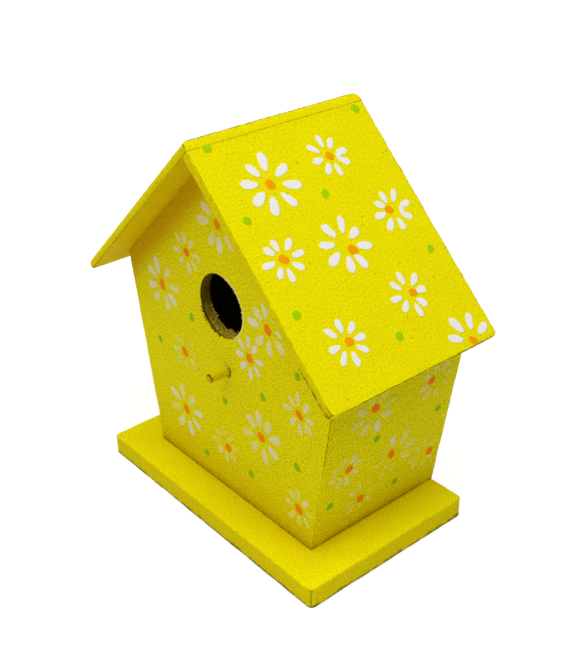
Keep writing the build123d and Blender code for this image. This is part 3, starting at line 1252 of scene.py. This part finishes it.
# %% Torn fibres round the entrance
splinter = make_splinter()
torn_dark = make_bare_wood("torn_wood_dark", (0.22, 0.14, 0.004, 1), (0.055, 0.028, 0.002, 1))
torn_pale = make_bare_wood("torn_wood_pale", (0.90, 0.84, 0.30, 1), (0.66, 0.54, 0.06, 1))
INWARD = math.pi
perch_rim = perch_radius - 0.1
torn_stretches = [
    # (name, material, middle, radius and out in mm, first and last turn in degrees, count,
    #  pointing, length and thickness in mm)
    ("torn_rim", torn_dark, entrance_centre, entrance_radius, 0.10, 201, 266, 27, 0.0, 2.1, 0.60),
    ("torn_sill", torn_dark, entrance_centre, entrance_radius, 0.05, 255, 305, 16, 0.0, 1.0, 0.50),
    ("torn_lip", torn_pale, entrance_centre, entrance_radius, -4.7, 206, 300, 28, INWARD, 3.1, 0.46),
    ("torn_brow", torn_pale, entrance_centre, entrance_radius, -0.2, 0, 85, 26, INWARD, 0.8, 0.50),
    ("torn_perch_root", torn_dark, perch_centre, perch_rim, 0.15, -70, 80, 11, 0.0, 1.1, 0.52),
    ("torn_perch_chip", torn_pale, perch_centre, perch_rim, 0.35, 50, 115, 5, 0.0, 1.2, 0.60),
]
for number, stretch in enumerate(torn_stretches):
    name, material, middle, radius, out, first, last, count, pointing, length, thick = stretch
    piece = linked_object(name, bpy.data.meshes.new(name))
    values = {
        "Fibre": splinter,
        "Centre": front.at(*middle, out),
        "Across": front.across,
        "Along": front.along,
        "Count": count,
        "Radius": radius * MM,
        "First Turn": math.radians(first),
        "Last Turn": math.radians(last),
        "Pointing": pointing,
        "Length": length * MM,
        "Thickness": thick * MM,
        "Seed": 40 + number,
        "Material": material,
    }
    piece.data = grow(piece, fibre_tree, values)
    own = front.own(corners_of(piece.data.vertices))
    store(piece.data, "place", own, "FLOAT_VECTOR")
    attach(piece, "root")
    print(name, "has", len(piece.data.polygons), "faces")
bpy.data.objects.remove(splinter)

# %% [markdown]
# ## The perch
#
# The perch is a short dowel pushed into its hole and painted with the wall. A plain
# cylinder would look like one. The real one has a small fillet of paint at its root, a
# shaft that isn't quite straight-sided, a rim where the cut end mushroomed a little, and an
# end face that drank the paint. A profile of distances and radii, turned round the dowel's
# axis, gives all of that in one short list.

# %% Perch
PERCH_SEGMENTS = 48
perch_reach = (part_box("front_wall")[0].y - perch_low.y) / MM
dowel = perch_radius - 0.32
perch_profile = [
    # (distance out of the wall, radius), both in millimetres
    (-5.0, dowel + 0.30),
    (-0.2, dowel + 0.30),
    (0.05, dowel + 0.46),
    (0.30, dowel + 0.20),
    (0.70, dowel + 0.06),
    (1.40, dowel),
    (3.50, dowel - 0.04),
    (6.00, dowel),
    (8.50, dowel - 0.05),
    (perch_reach - 1.0, dowel - 0.02),
    (perch_reach - 0.45, dowel),
    (perch_reach - 0.15, dowel - 0.12),
    (perch_reach - 0.02, dowel - 0.40),
    (perch_reach - 0.06, dowel - 0.60),
    (perch_reach - 0.20, dowel - 0.85),
    (perch_reach - 0.22, dowel - 1.60),
]


def turned_perch():
    """The dowel as rings round its axis, closed at both ends."""
    shape = bmesh.new()
    rings = []
    for out, radius in perch_profile:
        ring = []
        for step in range(PERCH_SEGMENTS):
            turn = 2 * math.pi * step / PERCH_SEGMENTS
            way = Vector((math.cos(turn), math.sin(turn), out * 0.35))
            wobble = 1 + 0.022 * noise.noise(way * 1.6) + (0.05 * noise.noise(way * 4) if out < 0.5 else 0)
            across = perch_centre[0] + radius * wobble * way.x
            along = perch_centre[1] + radius * wobble * way.y
            ring.append(shape.verts.new(front.at(across, along, out)))
        rings.append(ring)
    skin(shape, rings)
    for ring, out in ((rings[0], perch_profile[0][0]), (rings[-1], perch_profile[-1][0])):
        middle = shape.verts.new(front.at(*perch_centre, out))
        for step in range(PERCH_SEGMENTS):
            shape.faces.new((ring[step], ring[(step + 1) % PERCH_SEGMENTS], middle))
    bmesh.ops.recalc_face_normals(shape, faces=shape.faces)
    for face in shape.faces:
        face.smooth = True
    return mesh_of(shape, "painted_perch")


perch_mesh = turned_perch()
own = front.own(corners_of(perch_mesh.vertices))
off_axis = np.linalg.norm(own[:, :2] / MM - perch_centre, axis=1)
tip_gap = np.abs(perch_reach - own[:, 2] / MM)
store(perch_mesh, "place", own[:, [0, 2, 1]], "FLOAT_VECTOR")
store(perch_mesh, "edge", (tip_gap + np.abs(off_axis - dowel)) * MM)
store(perch_mesh, "joint", own[:, 2].clip(0))
spoke = own[:, :2] / MM - perch_centre
store(perch_mesh, "outer_rim", 0.20 + 0.75 * (1.6 * toward(spoke, 65, 125)).clip(0, 1))
store(perch_mesh, "shaded", toward(spoke, 300, 120) * (1 - own[:, 2] / MM / perch_reach).clip(0, 1))
store(perch_mesh, "cut_end", ((dowel - 0.35 - off_axis) / 0.5).clip(0, 1) * (tip_gap < 0.5))
perch = linked_object("painted_perch", perch_mesh)
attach(perch, "root")
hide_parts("perch")
print("perch reaches", round(perch_reach, 1), "mm, faces", len(perch_mesh.polygons))


def make_perch_paint():
    """The wall's paint as handling left it, with painted shade on its underside and thin on the cut end."""
    material, wire, shader = new_material(
        "perch_paint", Specular_IOR_Level=0.02, Specular_Tint=(1.0, 0.80, 0.05, 1)
    )
    place = wire.given("place", "Vector")
    cut_end = wire.given("cut_end")
    handled = (0.78, 0.67, 0.001, 1)
    sandy = {"Patchiness": 0.25, "Tooth": 1.0, "Specks": 0.2}
    paint = use_group(wire, brushed_paint, {"Colour": handled, "Place": place, **sandy})
    grain = {"Pale": (0.66, 0.45, 0.04, 1), "Dark": (0.36, 0.21, 0.01, 1)}
    wood = use_group(wire, wood_fibre, {"Place": place, **grain})
    ring = band_mask(wire, wire.given("edge"), 2.0 * MM, 0.5, 0.15)
    root = band_mask(wire, wire.given("joint"), 0.7 * MM, 0.6, 0.5)
    # Painted shade: darker, browner paint on the perch's underside, most near the root.
    perch_underside_shade = wire.times(wire.given("shaded"), 0.75)
    colour = wire.mix(perch_underside_shade, paint.outputs["Colour"], (0.56, 0.31, 0.002, 1))
    colour = wire.mix(wire.times(cut_end, 0.45), colour, wood.outputs["Colour"])
    colour = wire.mix(wire.times(ring, wire.given("outer_rim")), colour, SEAM)
    colour = wire.mix(wire.times(root, 0.55), colour, SEAM)
    join_shader(wire, shader, colour, paint.outputs["Height"], 0.10 * MM, paint.outputs["Roughness"])
    return material


perch_mesh.materials.append(make_perch_paint())

# %% [markdown]
# ## The brads
#
# The brads stay as the CAD made them. They sit under filler and paint, so nobody sees them
# unless the boards are taken apart, but they still get a real finish: drawn steel wire has
# fine streaks from the die and a slightly uneven grey.


# %% Brads
def make_brad_steel():
    """Drawn steel wire."""
    material, wire, shader = new_material("brad_steel", Metallic=1.0)
    place = wire.out(wire.add("ShaderNodeTexCoord"), "Object")
    streaks = wire.cloud(wire.stretch(place, (1.0, 1.0, 0.2)), 0.25 * MM, 3)
    colour = wire.mix(streaks, (0.42, 0.42, 0.43, 1), (0.68, 0.68, 0.69, 1))
    join_shader(wire, shader, colour, streaks, 0.03 * MM, wire.ramp(streaks, 0.2, 0.8, 0.28, 0.48))
    return material


brad_steel = make_brad_steel()
brad_nodes = [name for name in nodes if name.endswith("_brads")]
for name in brad_nodes:
    mesh = nodes[name].data
    mesh.materials.clear()
    mesh.materials.append(brad_steel)
print("brads:", len(brad_nodes), "groups")

# %% [markdown]
# ## The daisies
#
# A daisy is a ring of teardrop petals round an orange dab, put on with a stencil in two
# sizes. The places are few and listed in whole millimetres on each board's face,
# and everything that repeats is left to Geometry Nodes: eight petals from each place, each
# turned, stretched and loaded with paint a little differently.
#
# Each stroke is a real, thin, closed piece of paint, a tenth or two of a millimetre
# thick. Flat decals would fight with the board for the same surface, and a painted texture would lose
# its crisp edge on the exported model.

# %% Where the daisies are
# Per board: (across, along, reach, turn in degrees, cover, centre slip across, slip along)
daisy_places = {
    "right_roof_panel": [
        (-21, 101, 15, 27, 0.96, 0, 0),
        (16, 105, 11, 7, 0.95, 0, 0),
        (-34, 68, 11, 0, 0.90, 0, 0),
        (-1, 64, 13.4, 23, 0.94, 2, -3),
        (33, 71, 11, 5, 0.90, -2, 1),
        (-26, 25, 11, 0, 0.94, 1, 0),
        (17, 33, 11, -5, 0.94, 2, 0),
        (36, 2, 14, 25, 0.96, 0, 0),
    ],
    "front_wall": [
        (-50, 100, 14.5, 15, 0.58, 0, 0),
        (-27, 126, 11, 7, 0.53, 0, 0),
        (-1, 149, 15, 10, 0.68, 0, 0),
        (33, 109, 14, 6, 0.63, 0, 0),
        (19, 88, 11, 6, 0.70, 0, 0),
        (54, 74, 11, 1, 0.58, 0, 0),
        (-34, 68, 11, 5, 0.44, 0, 0),
        (26, 47, 15, 13, 0.60, 0, 0),
        (-36, 32, 15, 15, 0.56, 0, 0),
        (-3, 27, 11, 5, 0.46, 2, -1),
        (53, 20, 11, 1, 0.50, 0, 0),
    ],
    "right_wall": [
        (-14, 73, 14, 15, 0.51, 0, 3),
        (27, 74, 12, 10, 0.49, -4, 1),
        (-27, 44, 11, 15, 0.49, 2, 0),
        (6, 37, 14, 12, 0.43, -2, 1),
        (-14, 20, 11, 10, 0.39, 1, -2),
        (29, 25, 11, 5, 0.41, 5, -1),
    ],
    "left_roof_panel": [
        (-27, 97, 15, 12, 0.95, 0, 0),
        (12, 103, 11, 0, 0.94, 0, 0),
        (34, 76, 15, 20, 0.95, 0, 0),
        (-5, 66, 11, 8, 0.92, 0, 0),
        (-35, 46, 11, -4, 0.93, 0, 0),
        (14, 33, 15, 25, 0.95, 1, -1),
        (-20, 15, 11, 3, 0.93, 0, 0),
        (38, 10, 11, 0, 0.94, 0, 0),
    ],
    "left_wall": [
        (-20, 84, 12, 8, 0.51, 0, 0),
        (17, 74, 14, 15, 0.53, 1, 1),
        (-9, 51, 11, 0, 0.47, 0, 0),
        (26, 42, 11, 10, 0.49, -1, 0),
        (-25, 22, 14, 20, 0.45, 0, 0),
        (12, 18, 11, 5, 0.43, 1, 0),
    ],
    "back_wall": [
        (-40, 106, 15, 15, 0.63, 0, 0),
        (3, 139, 11, 5, 0.58, 0, 0),
        (36, 112, 11, 0, 0.60, 1, 0),
        (-8, 92, 15, 20, 0.63, 0, 0),
        (48, 76, 11, 5, 0.53, 0, 0),
        (-46, 60, 11, 0, 0.54, 0, 0),
        (10, 50, 11, 8, 0.50, 0, 0),
        (-25, 27, 15, 12, 0.56, 0, 1),
        (38, 24, 15, 25, 0.52, 0, 0),
    ],
}
# Per board: (across, along) of the green dots
dot_places = {
    "right_roof_panel": [(-41, 125), (44, 123), (-41, 89), (3, 89), (-42, 44), (41, 48), (0, 18)],
    "front_wall": [(-26, 91), (-56, 66), (28, 71), (53, 94), (-2, 54), (52, 44), (17, 20), (-20, 13)],
    "right_wall": [(-9, 55), (33, 53), (-34, 25), (11, 16)],
    "left_roof_panel": [(-43, 122), (41, 119), (2, 84), (-28, 70), (40, 50), (-8, 41), (44, 30), (0, 9)],
    "left_wall": [(2, 95), (-30, 60), (7, 34), (30, 22)],
    "back_wall": [(-18, 120), (22, 92), (-56, 84), (-20, 66), (30, 52), (58, 44), (-52, 22), (8, 16)],
}
print(sum(map(len, daisy_places.values())), "daisies and", sum(map(len, dot_places.values())), "dots")


# %% [markdown]
# One stroke is drawn once and used hundreds of times, so it has only a few dozen faces: a
# flat bottom, a side, a soft shoulder and a slightly crowned top. It is one unit long, and
# it remembers where along and across itself each corner is, so that the paint can be
# thinner at its tip and streaked along its length.


# %% Stroke shapes
def stroke_shape(name, outline):
    """A thin closed dab of paint over an outline, one unit long and one high."""
    shape = bmesh.new()
    centre = Vector((sum(p[0] for p in outline), sum(p[1] for p in outline), 0)) / len(outline)
    rings, rim = [], []
    for shrink, height in ((1.0, -0.6), (1.0, 0.2), (0.88, 0.7), (0.72, 0.9), (0.50, 1.0)):
        rim += [shrink] * len(outline)
        ring = []
        for x, y in outline:
            ring.append(shape.verts.new(centre.lerp(Vector((x, y, 0)), shrink) + Vector((0, 0, height))))
        rings.append(ring)
    skin(shape, rings)
    close_ends(shape, rings)
    mesh = mesh_of(shape, name)
    widest = max(abs(y) for _, y in outline)
    reach = [(v.co.x, v.co.y / widest, v.co.z) for v in mesh.vertices]
    store(mesh, "stroke", reach, "FLOAT_VECTOR")
    store(mesh, "rim", rim)
    piece = linked_object(name, mesh)
    piece.hide_render = True
    return piece


petal_half = [
    # (along, half the width) of one teardrop petal, from its blunt tip near the centre
    (0.00, 0.10),
    (0.07, 0.23),
    (0.20, 0.35),
    (0.38, 0.44),
    (0.57, 0.49),
    (0.74, 0.48),
    (0.88, 0.37),
    (0.97, 0.19),
]
petal_outline = petal_half + [(1.0, 0.0)] + [(x, -y) for x, y in reversed(petal_half)]
petal_stroke = stroke_shape("petal_stroke", petal_outline)
dab_outline = [(0.5 * math.cos(a * math.pi / 10), 0.5 * math.sin(a * math.pi / 10)) for a in range(20)]
dab_stroke = stroke_shape("dab_stroke", dab_outline)
print("strokes:", len(petal_stroke.data.polygons), "and", len(dab_stroke.data.polygons), "faces")

# %% [markdown]
# The tree takes a mesh with one corner per daisy. It copies each corner eight times, turns
# each copy to its own direction on the board, sets a stroke there and lets a ray carry every
# corner of the stroke down onto the board, so the paint follows the waves of the wood. The
# random values have a fixed seed, so the same daisies bloom on every run.


# %% Geometry tree: strokes round a centre
RAY_START = 3 * MM  # how far above the board a stroke's rays begin


def make_stroke_tree():
    """Strokes of paint round each place, settled onto a board."""
    inputs = [
        ("Places", GEOMETRY, None),
        ("Stroke", OBJECT, None),
        ("Board", OBJECT, None),
        ("Board Out", VECTOR, (0, 0, 1)),
        ("Board Across", VECTOR, (1, 0, 0)),
        ("Strokes Each", COUNT, 8),
        ("Start Share", NUMBER, 0.36),
        ("Width Share", NUMBER, 0.335),
        ("Size Spread", NUMBER, 0.10),
        ("Turn Spread", NUMBER, 0.10),
        ("Cover Spread", NUMBER, 0.10),
        ("Thickness", NUMBER, 0.00012),
        ("Seed", COUNT, 1),
        ("Material", MATERIAL, None),
    ]
    outputs = [("Strokes", GEOMETRY)]
    tree, wire, given, result = make_group("paint strokes", "GeometryNodeTree", inputs, outputs)
    tree.is_modifier = True
    use = given.outputs

    def field(name):
        """A value stored on each place."""
        node = wire.add("GeometryNodeInputNamedAttribute", {"Name": name}, data_type="FLOAT")
        return wire.out(node, "Attribute")

    def spread(share, shift):
        """A random value for each stroke, up to this share either way."""
        return wire.times(wire.chance(use["Seed"], -1.0, 1.0, shift), share)

    def remember(places, name, value):
        """The places with a value stored on each."""
        inputs = {"Geometry": places, "Name": name, "Value": value}
        kind = {"data_type": "FLOAT", "domain": "POINT"}
        return wire.out(wire.add("GeometryNodeStoreNamedAttribute", inputs, **kind), "Geometry")

    each = {"Geometry": use["Places"], "Amount": use["Strokes Each"]}
    copies = wire.add("GeometryNodeDuplicateElements", each, domain="POINT")
    copy_number = wire.out(copies, "Duplicate Index")
    step = wire.math("DIVIDE", 2 * math.pi, use["Strokes Each"])
    turn = wire.plus(field("turn"), wire.times(copy_number, step))
    turn = wire.plus(turn, spread(use["Turn Spread"], 0))
    stored = remember(wire.out(copies, "Geometry"), "stroke_turn", turn)
    cover = wire.plus(field("cover"), spread(use["Cover Spread"], 11))
    stored = remember(stored, "cover", cover)
    stored = remember(stored, "own_chance", wire.chance(use["Seed"], 0.0, 100.0, 23))
    about = field("stroke_turn")
    turned = wire.laid_down(use["Board Out"], use["Board Across"], (0, 0, 1), about)
    grown = wire.plus(1.0, spread(use["Size Spread"], 37))
    reach = wire.times(field("reach"), grown)
    length = wire.times(reach, wire.minus(1.0, use["Start Share"]))
    plump = wire.plus(1.0, spread(use["Size Spread"], 53))
    width = wire.times(wire.times(field("reach"), use["Width Share"]), plump)
    size = wire.add("ShaderNodeCombineXYZ", {"X": length, "Y": width, "Z": use["Thickness"]})
    stroke = wire.add("GeometryNodeObjectInfo", {"Object": use["Stroke"]})
    placed = wire.add(
        "GeometryNodeInstanceOnPoints",
        {
            "Points": stored,
            "Instance": wire.out(stroke, "Geometry"),
            "Rotation": turned,
            "Scale": size.outputs[0],
        },
    )
    # A local shift counts in the stroke's own length, so the gap is a share of that length.
    gap = wire.math("DIVIDE", use["Start Share"], wire.minus(1.0, use["Start Share"]))
    outward = wire.add("ShaderNodeCombineXYZ", {"X": gap})
    moved = wire.add(
        "GeometryNodeTranslateInstances",
        {"Instances": wire.out(placed, "Instances"), "Translation": outward.outputs[0], "Local Space": True},
    )
    solid = wire.add("GeometryNodeRealizeInstances", {"Geometry": wire.out(moved, "Instances")})

    # The outline wavers a little, differently for each stroke.
    place = wire.out(wire.add("GeometryNodeInputPosition"))
    waver = {"Vector": place, "W": field("own_chance"), "Scale": 1 / (1.9 * MM)}
    lumps = wire.add("ShaderNodeTexNoise", waver, noise_dimensions="4D")
    sway = wire.vector("SUBTRACT", wire.out(lumps, "Color"), (0.5, 0.5, 0.5))
    sway = wire.vector("SCALE", sway, 0.9 * MM)
    rise = wire.vector("DOT_PRODUCT", sway, use["Board Out"])
    lift = wire.vector("SCALE", use["Board Out"], rise)
    sideways = wire.vector("SUBTRACT", sway, lift)
    wavered = wire.add("GeometryNodeSetPosition", {"Geometry": wire.out(solid), "Offset": sideways})

    # A ray from each corner, straight down onto the board, finds how far the wood's wave is.
    begin = wire.vector("ADD", place, wire.vector("SCALE", use["Board Out"], RAY_START))
    down = wire.vector("SCALE", use["Board Out"], -1.0)
    wood = wire.add("GeometryNodeObjectInfo", {"Object": use["Board"]})
    ray = wire.add(
        "GeometryNodeRaycast",
        {
            "Target Geometry": wire.out(wood, "Geometry"),
            "Source Position": begin,
            "Ray Direction": down,
            "Ray Length": 2 * RAY_START,
        },
    )
    known = wire.add("GeometryNodeInputNamedAttribute", {"Name": "stroke"}, data_type="FLOAT_VECTOR")
    own = wire.add("ShaderNodeSeparateXYZ", {0: wire.out(known, "Attribute")})
    own_height = wire.times(own.outputs["Z"], use["Thickness"])
    wave = wire.minus(RAY_START, wire.out(ray, "Hit Distance"))
    wave = wire.times(wire.plus(wave, own_height), wire.out(ray, "Is Hit"))
    settle = {"Geometry": wire.out(wavered), "Offset": wire.vector("SCALE", use["Board Out"], wave)}
    settled = wire.add("GeometryNodeSetPosition", settle)
    dressing = {"Geometry": wire.out(settled), "Material": use["Material"]}
    wire.link(wire.out(wire.add("GeometryNodeSetMaterial", dressing)), result, "Strokes")
    return tree


stroke_tree = make_stroke_tree()
print("geometry tree:", stroke_tree.name, "with", len(stroke_tree.nodes), "nodes")


# %% [markdown]
# Petals on the roof are thick, nearly white and opaque. On the walls the paint was thinner,
# so the lemon coat shows through in streaks. Both are one material: each stroke carries how
# well it covers, and streaks drawn out along the stroke decide where the yellow comes
# through. Under the white lies the same brushed paint with the same places, so the yellow
# in a streak is exactly the yellow beside it.


# %% Materials: white, orange and green paint
def make_dab_paint(name, colour, deep, softness, roughness):
    """Paint dabbed over the lemon coat, thinner at its rim and in its streaks."""
    material, wire, shader = new_material(name, Roughness=roughness, Specular_IOR_Level=0.02)
    place = wire.given("place", "Vector")
    stroke = wire.given("stroke", "Vector")
    cover = wire.given("cover")
    under = use_group(wire, brushed_paint, {"Colour": LEMON, "Place": place, **sandy_values(wire)})
    parts = wire.add("ShaderNodeSeparateXYZ", {0: stroke})
    along, across = parts.outputs["X"], parts.outputs["Y"]
    shifted = wire.add("ShaderNodeCombineXYZ", {"X": along, "Y": across, "Z": wire.given("own_chance")})
    streaks = wire.cloud(wire.stretch(shifted.outputs[0], (1.2, 4.5, 1.0)), 1.0, 3)
    blots = wire.cloud(place, 1.1 * MM, 3)
    load = wire.plus(wire.times(streaks, 0.55), wire.times(blots, 0.45))
    stray = wire.swing(wire.cloud(place, 0.9 * MM, 2), 0.35)
    rim = wire.plus(wire.given("rim"), stray)
    faded = wire.ramp(rim, wire.minus(1.0, softness), 1.0, 1.0, 0.0)
    need = wire.minus(0.86, wire.times(cover, 0.62))
    covered = wire.ramp(load, wire.minus(need, 0.17), wire.plus(need, 0.10))
    covered = wire.times(covered, wire.ramp(cover, 0.0, 0.95, 0.40, 1.0))
    thinnest = wire.ramp(cover, 0.30, 0.95, 0.35, 1.0)
    thin_spots = wire.ramp(wire.cloud(place, 0.8 * MM, 2), 0.34, 0.54, thinnest, 1.0)
    covered = wire.times(covered, thin_spots)
    covered = wire.times(covered, faded)
    mottle = wire.swing(wire.cloud(place, 1.6 * MM, 2), 0.9)
    depth = wire.plus(mottle, wire.ramp(wire.given("sandy"), 0.0, 1.0, 0.08, 0.85))
    tone = wire.mix(wire.ramp(depth, 0.0, 1.0), colour, deep)
    shown = wire.mix(covered, under.outputs["Colour"], tone)
    join_shader(wire, shader, shown, wire.plus(blots, under.outputs["Height"]), 0.06 * MM)
    return material


white_paint = make_dab_paint("white_paint", (0.85, 0.85, 0.86, 1), (0.80, 0.76, 0.64, 1), 0.22, 0.55)
orange_paint = make_dab_paint("orange_paint", (0.90, 0.36, 0.001, 1), (0.98, 0.22, 0.001, 1), 0.16, 0.50)
green_paint = make_dab_paint("green_paint", (0.37, 0.64, 0.001, 1), (0.27, 0.52, 0.001, 1), 0.20, 0.50)
print("materials:", white_paint.name, orange_paint.name, green_paint.name)

# %% [markdown]
# A daisy near the eave is cut off by the board's edge. The strokes are closed solids, so
# cutting them with the planes of the board's outline and closing each cut keeps them solid.


# %% Painting a board
def places_mesh(board, places):
    """One corner per stroke centre, with its reach, turn and cover stored on it."""
    mesh = bpy.data.meshes.new("places")
    mesh.from_pydata([board.at(across, along) for across, along, *_ in places], [], [])
    store(mesh, "reach", [p[2] * MM for p in places])
    store(mesh, "turn", [math.radians(p[3]) for p in places])
    store(mesh, "cover", [p[4] for p in places])
    return mesh


def clip_to_board(solid, board):
    """Cuts strokes off just inside the edges of a board's face."""
    centre = np.mean([a for a, _ in board.outline], axis=0)
    for start, end in board.outline:
        outward = (end - start).cross(board.out).normalized()
        if outward.dot(Vector(centre) - start) > 0:
            outward.negate()
        everything = solid.verts[:] + solid.edges[:] + solid.faces[:]
        cut = bmesh.ops.bisect_plane(
            solid,
            geom=everything,
            dist=1e-7,
            plane_co=start - outward * 0.15 * MM,
            plane_no=outward,
            clear_outer=True,
        )
        opened = [e for e in cut["geom_cut"] if isinstance(e, bmesh.types.BMEdge) and e.is_boundary]
        if opened:
            bmesh.ops.holes_fill(solid, edges=opened, sides=0)


def paint_strokes(board, name, places, material, values):
    """Runs the stroke tree over a board's places and keeps the result as a plain piece."""
    piece = linked_object(name, places_mesh(board, places))
    facts = {"Board": dressed[board.node], "Board Out": board.out, "Board Across": board.across}
    mesh = grow(piece, stroke_tree, {**facts, "Material": material, **values})
    solid = bmesh.new()
    solid.from_mesh(mesh)
    clip_to_board(solid, board)
    for face in solid.faces:
        face.smooth = True
    solid.to_mesh(mesh)
    solid.free()
    points = corners_of(mesh.vertices)
    store(mesh, "place", board.own(points), "FLOAT_VECTOR")
    store(mesh, "sandy", sandiness(board, points))
    piece.data = mesh
    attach(piece, "root")
    print(name, "has", len(mesh.polygons), "faces")
    return piece


# %% Daisies and dots on every painted board
LARGE_DAISY = 12  # a daisy that reaches further than this has the larger centre, all in mm
LARGE_CENTRE, SMALL_CENTRE, DOT = 5.6, 5.2, 4.9
dab = {"Stroke": dab_stroke, "Strokes Each": 1, "Start Share": 0.0}
dab.update({"Width Share": 0.8, "Thickness": 0.2 * MM})
for number, (node, daisies) in enumerate(daisy_places.items()):
    board = boards[node]
    thin = 0.03 if "roof" in node else 0.09
    swell = 1.0 if "roof" in node else 1.14
    paint_strokes(
        board,
        node + "_petals",
        [place[:5] for place in daisies],
        white_paint,
        {"Stroke": petal_stroke, "Cover Spread": thin, "Seed": 100 + number},
    )
    centres = []
    for across, along, reach, _, _, slip_across, slip_along in daisies:
        size = LARGE_CENTRE if reach > LARGE_DAISY else SMALL_CENTRE
        centres.append((across + slip_across, along + slip_along, size * swell, 132, 1.0))
    paint_strokes(
        board,
        node + "_centres",
        centres,
        orange_paint,
        {**dab, "Turn Spread": 0.4, "Size Spread": 0.12, "Cover Spread": 0.05, "Seed": 200 + number},
    )
    dots = [(across, along, DOT, 90, 1.0) for across, along in dot_places[node]]
    paint_strokes(
        board,
        node + "_dots",
        dots,
        green_paint,
        {**dab, "Turn Spread": 0.8, "Width Share": 0.9, "Size Spread": 0.13, "Seed": 300 + number},
    )

# %% Petals that ran together
# On two small daisies the stencil bled, and a short stroke joins two petals into a crescent.
roof = "right_roof_panel"
bled = []
for across, along, *_ in (daisy_places[roof][1], daisy_places[roof][4]):
    bled.append((across + 4.8, along - 1.4, 5.4, 74, 0.95))
bridge = {**dab, "Width Share": 0.52, "Thickness": 0.16 * MM}
bridge.update({"Size Spread": 0.05, "Cover Spread": 0.02, "Seed": 400})
paint_strokes(boards[roof], "bled_petals", bled, white_paint, bridge)
for stroke in (petal_stroke, dab_stroke):
    bpy.data.objects.remove(stroke)

# %% [markdown]
# ## Floor, backdrop and light
#
# The piece stands on a plain white table in a bright room. Big soft sources give the gentle
# shade under the eaves, and the pale floor throws light up under them. The floor has to look
# white without more light on the object, so for rays that see it directly it adds a glow of
# its own, and a small part of it stays an ordinary floor that keeps the shadow.


# %% Floor and world
def seen_directly(wire):
    """One for rays from the camera or through gloss and glass, and zero for the others."""
    path = wire.add("ShaderNodeLightPath")
    seen = wire.math("MAXIMUM", path.outputs["Is Camera Ray"], path.outputs["Is Glossy Ray"])
    return wire.math("MAXIMUM", seen, path.outputs["Is Transmission Ray"])


def make_floor():
    """A wide white table top that keeps the house's shadow."""
    shape = bmesh.new()
    bmesh.ops.create_circle(shape, cap_ends=True, segments=96, radius=6.0)
    floor = linked_object("floor", mesh_of(shape, "floor"))
    material = bpy.data.materials.new("floor_white")
    material.use_nodes = True
    wire = Wiring(material.node_tree)
    material.node_tree.nodes.remove(material.node_tree.nodes["Principled BSDF"])
    plain = wire.add("ShaderNodeBsdfDiffuse", {"Color": (0.85, 0.85, 0.84, 1)})
    dim = wire.add("ShaderNodeBsdfDiffuse", {"Color": (0.30, 0.30, 0.30, 1)})
    spot = wire.out(wire.add("ShaderNodeTexCoord"), "Object")
    away = wire.vector("LENGTH", spot)
    strength = wire.ramp(away, 0.16, 0.40, 0.80, 1.0)
    glow = wire.add("ShaderNodeEmission", {"Color": (1, 1, 1, 1), "Strength": strength})
    white = wire.add("ShaderNodeAddShader", {0: dim.outputs[0], 1: glow.outputs[0]})
    both = wire.add("ShaderNodeMixShader", {0: seen_directly(wire), 1: plain.outputs[0], 2: white.outputs[0]})
    end = material.node_tree.nodes["Material Output"]
    wire.link(both.outputs[0], end, "Surface")
    floor.data.materials.append(material)
    floor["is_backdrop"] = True
    return floor


floor = make_floor()
world = bpy.data.worlds.new("bright_room")
bpy.context.scene.world = world
world.use_nodes = True
world.node_tree.nodes.clear()
room = Wiring(world.node_tree)
room_light = room.add("ShaderNodeBackground", {"Color": (1.0, 0.93, 0.80, 1), "Strength": 0.14})
backdrop = room.add("ShaderNodeBackground", {"Color": (1, 1, 1, 1), "Strength": 1.0})
chosen = room.add(
    "ShaderNodeMixShader", {0: seen_directly(room), 1: room_light.outputs[0], 2: backdrop.outputs[0]}
)
room_end = room.add("ShaderNodeOutputWorld")
room.link(chosen.outputs[0], room_end, "Surface")


# %% Lamps
def soft_lamp(name, place, width, power, colour=(1, 1, 1)):
    """A square soft lamp that points at the house."""
    data = bpy.data.lights.new(name, "AREA")
    data.size = width
    data.energy = power
    data.color = colour
    lamp = bpy.data.objects.new(name, data)
    bpy.context.scene.collection.objects.link(lamp)
    place = Vector(place)
    aim = Vector((0, 0, 0.1)) - place
    lamp.matrix_world = Matrix.Translation(place) @ aim.to_track_quat("-Z", "Y").to_matrix().to_4x4()
    return lamp


soft_lamp("key", (0.14, -0.70, 1.20), 0.60, 5.6, (1.0, 0.96, 0.90))
soft_lamp("side", (0.62, 0.05, 1.38), 0.80, 10.8)
soft_lamp("fill", (-0.85, -0.35, 1.10), 0.90, 6.0)
soft_lamp("back", (-0.60, 0.45, 1.20), 0.90, 1.2)

scene = bpy.context.scene
scene.view_settings.view_transform = "Standard"

# %% [markdown]
# ## Measure and finish
#
# The dressed model has to fill the same box as the CAD model. The CAD box is printed at the
# start, and the last line prints how much the dressed model's box has grown beyond it.

# %% Sizes and finish
low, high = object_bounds()
print("grown by, in mm:", [round((b - a) / MM, 2) for a, b in zip(cad_high - cad_low, high - low)])
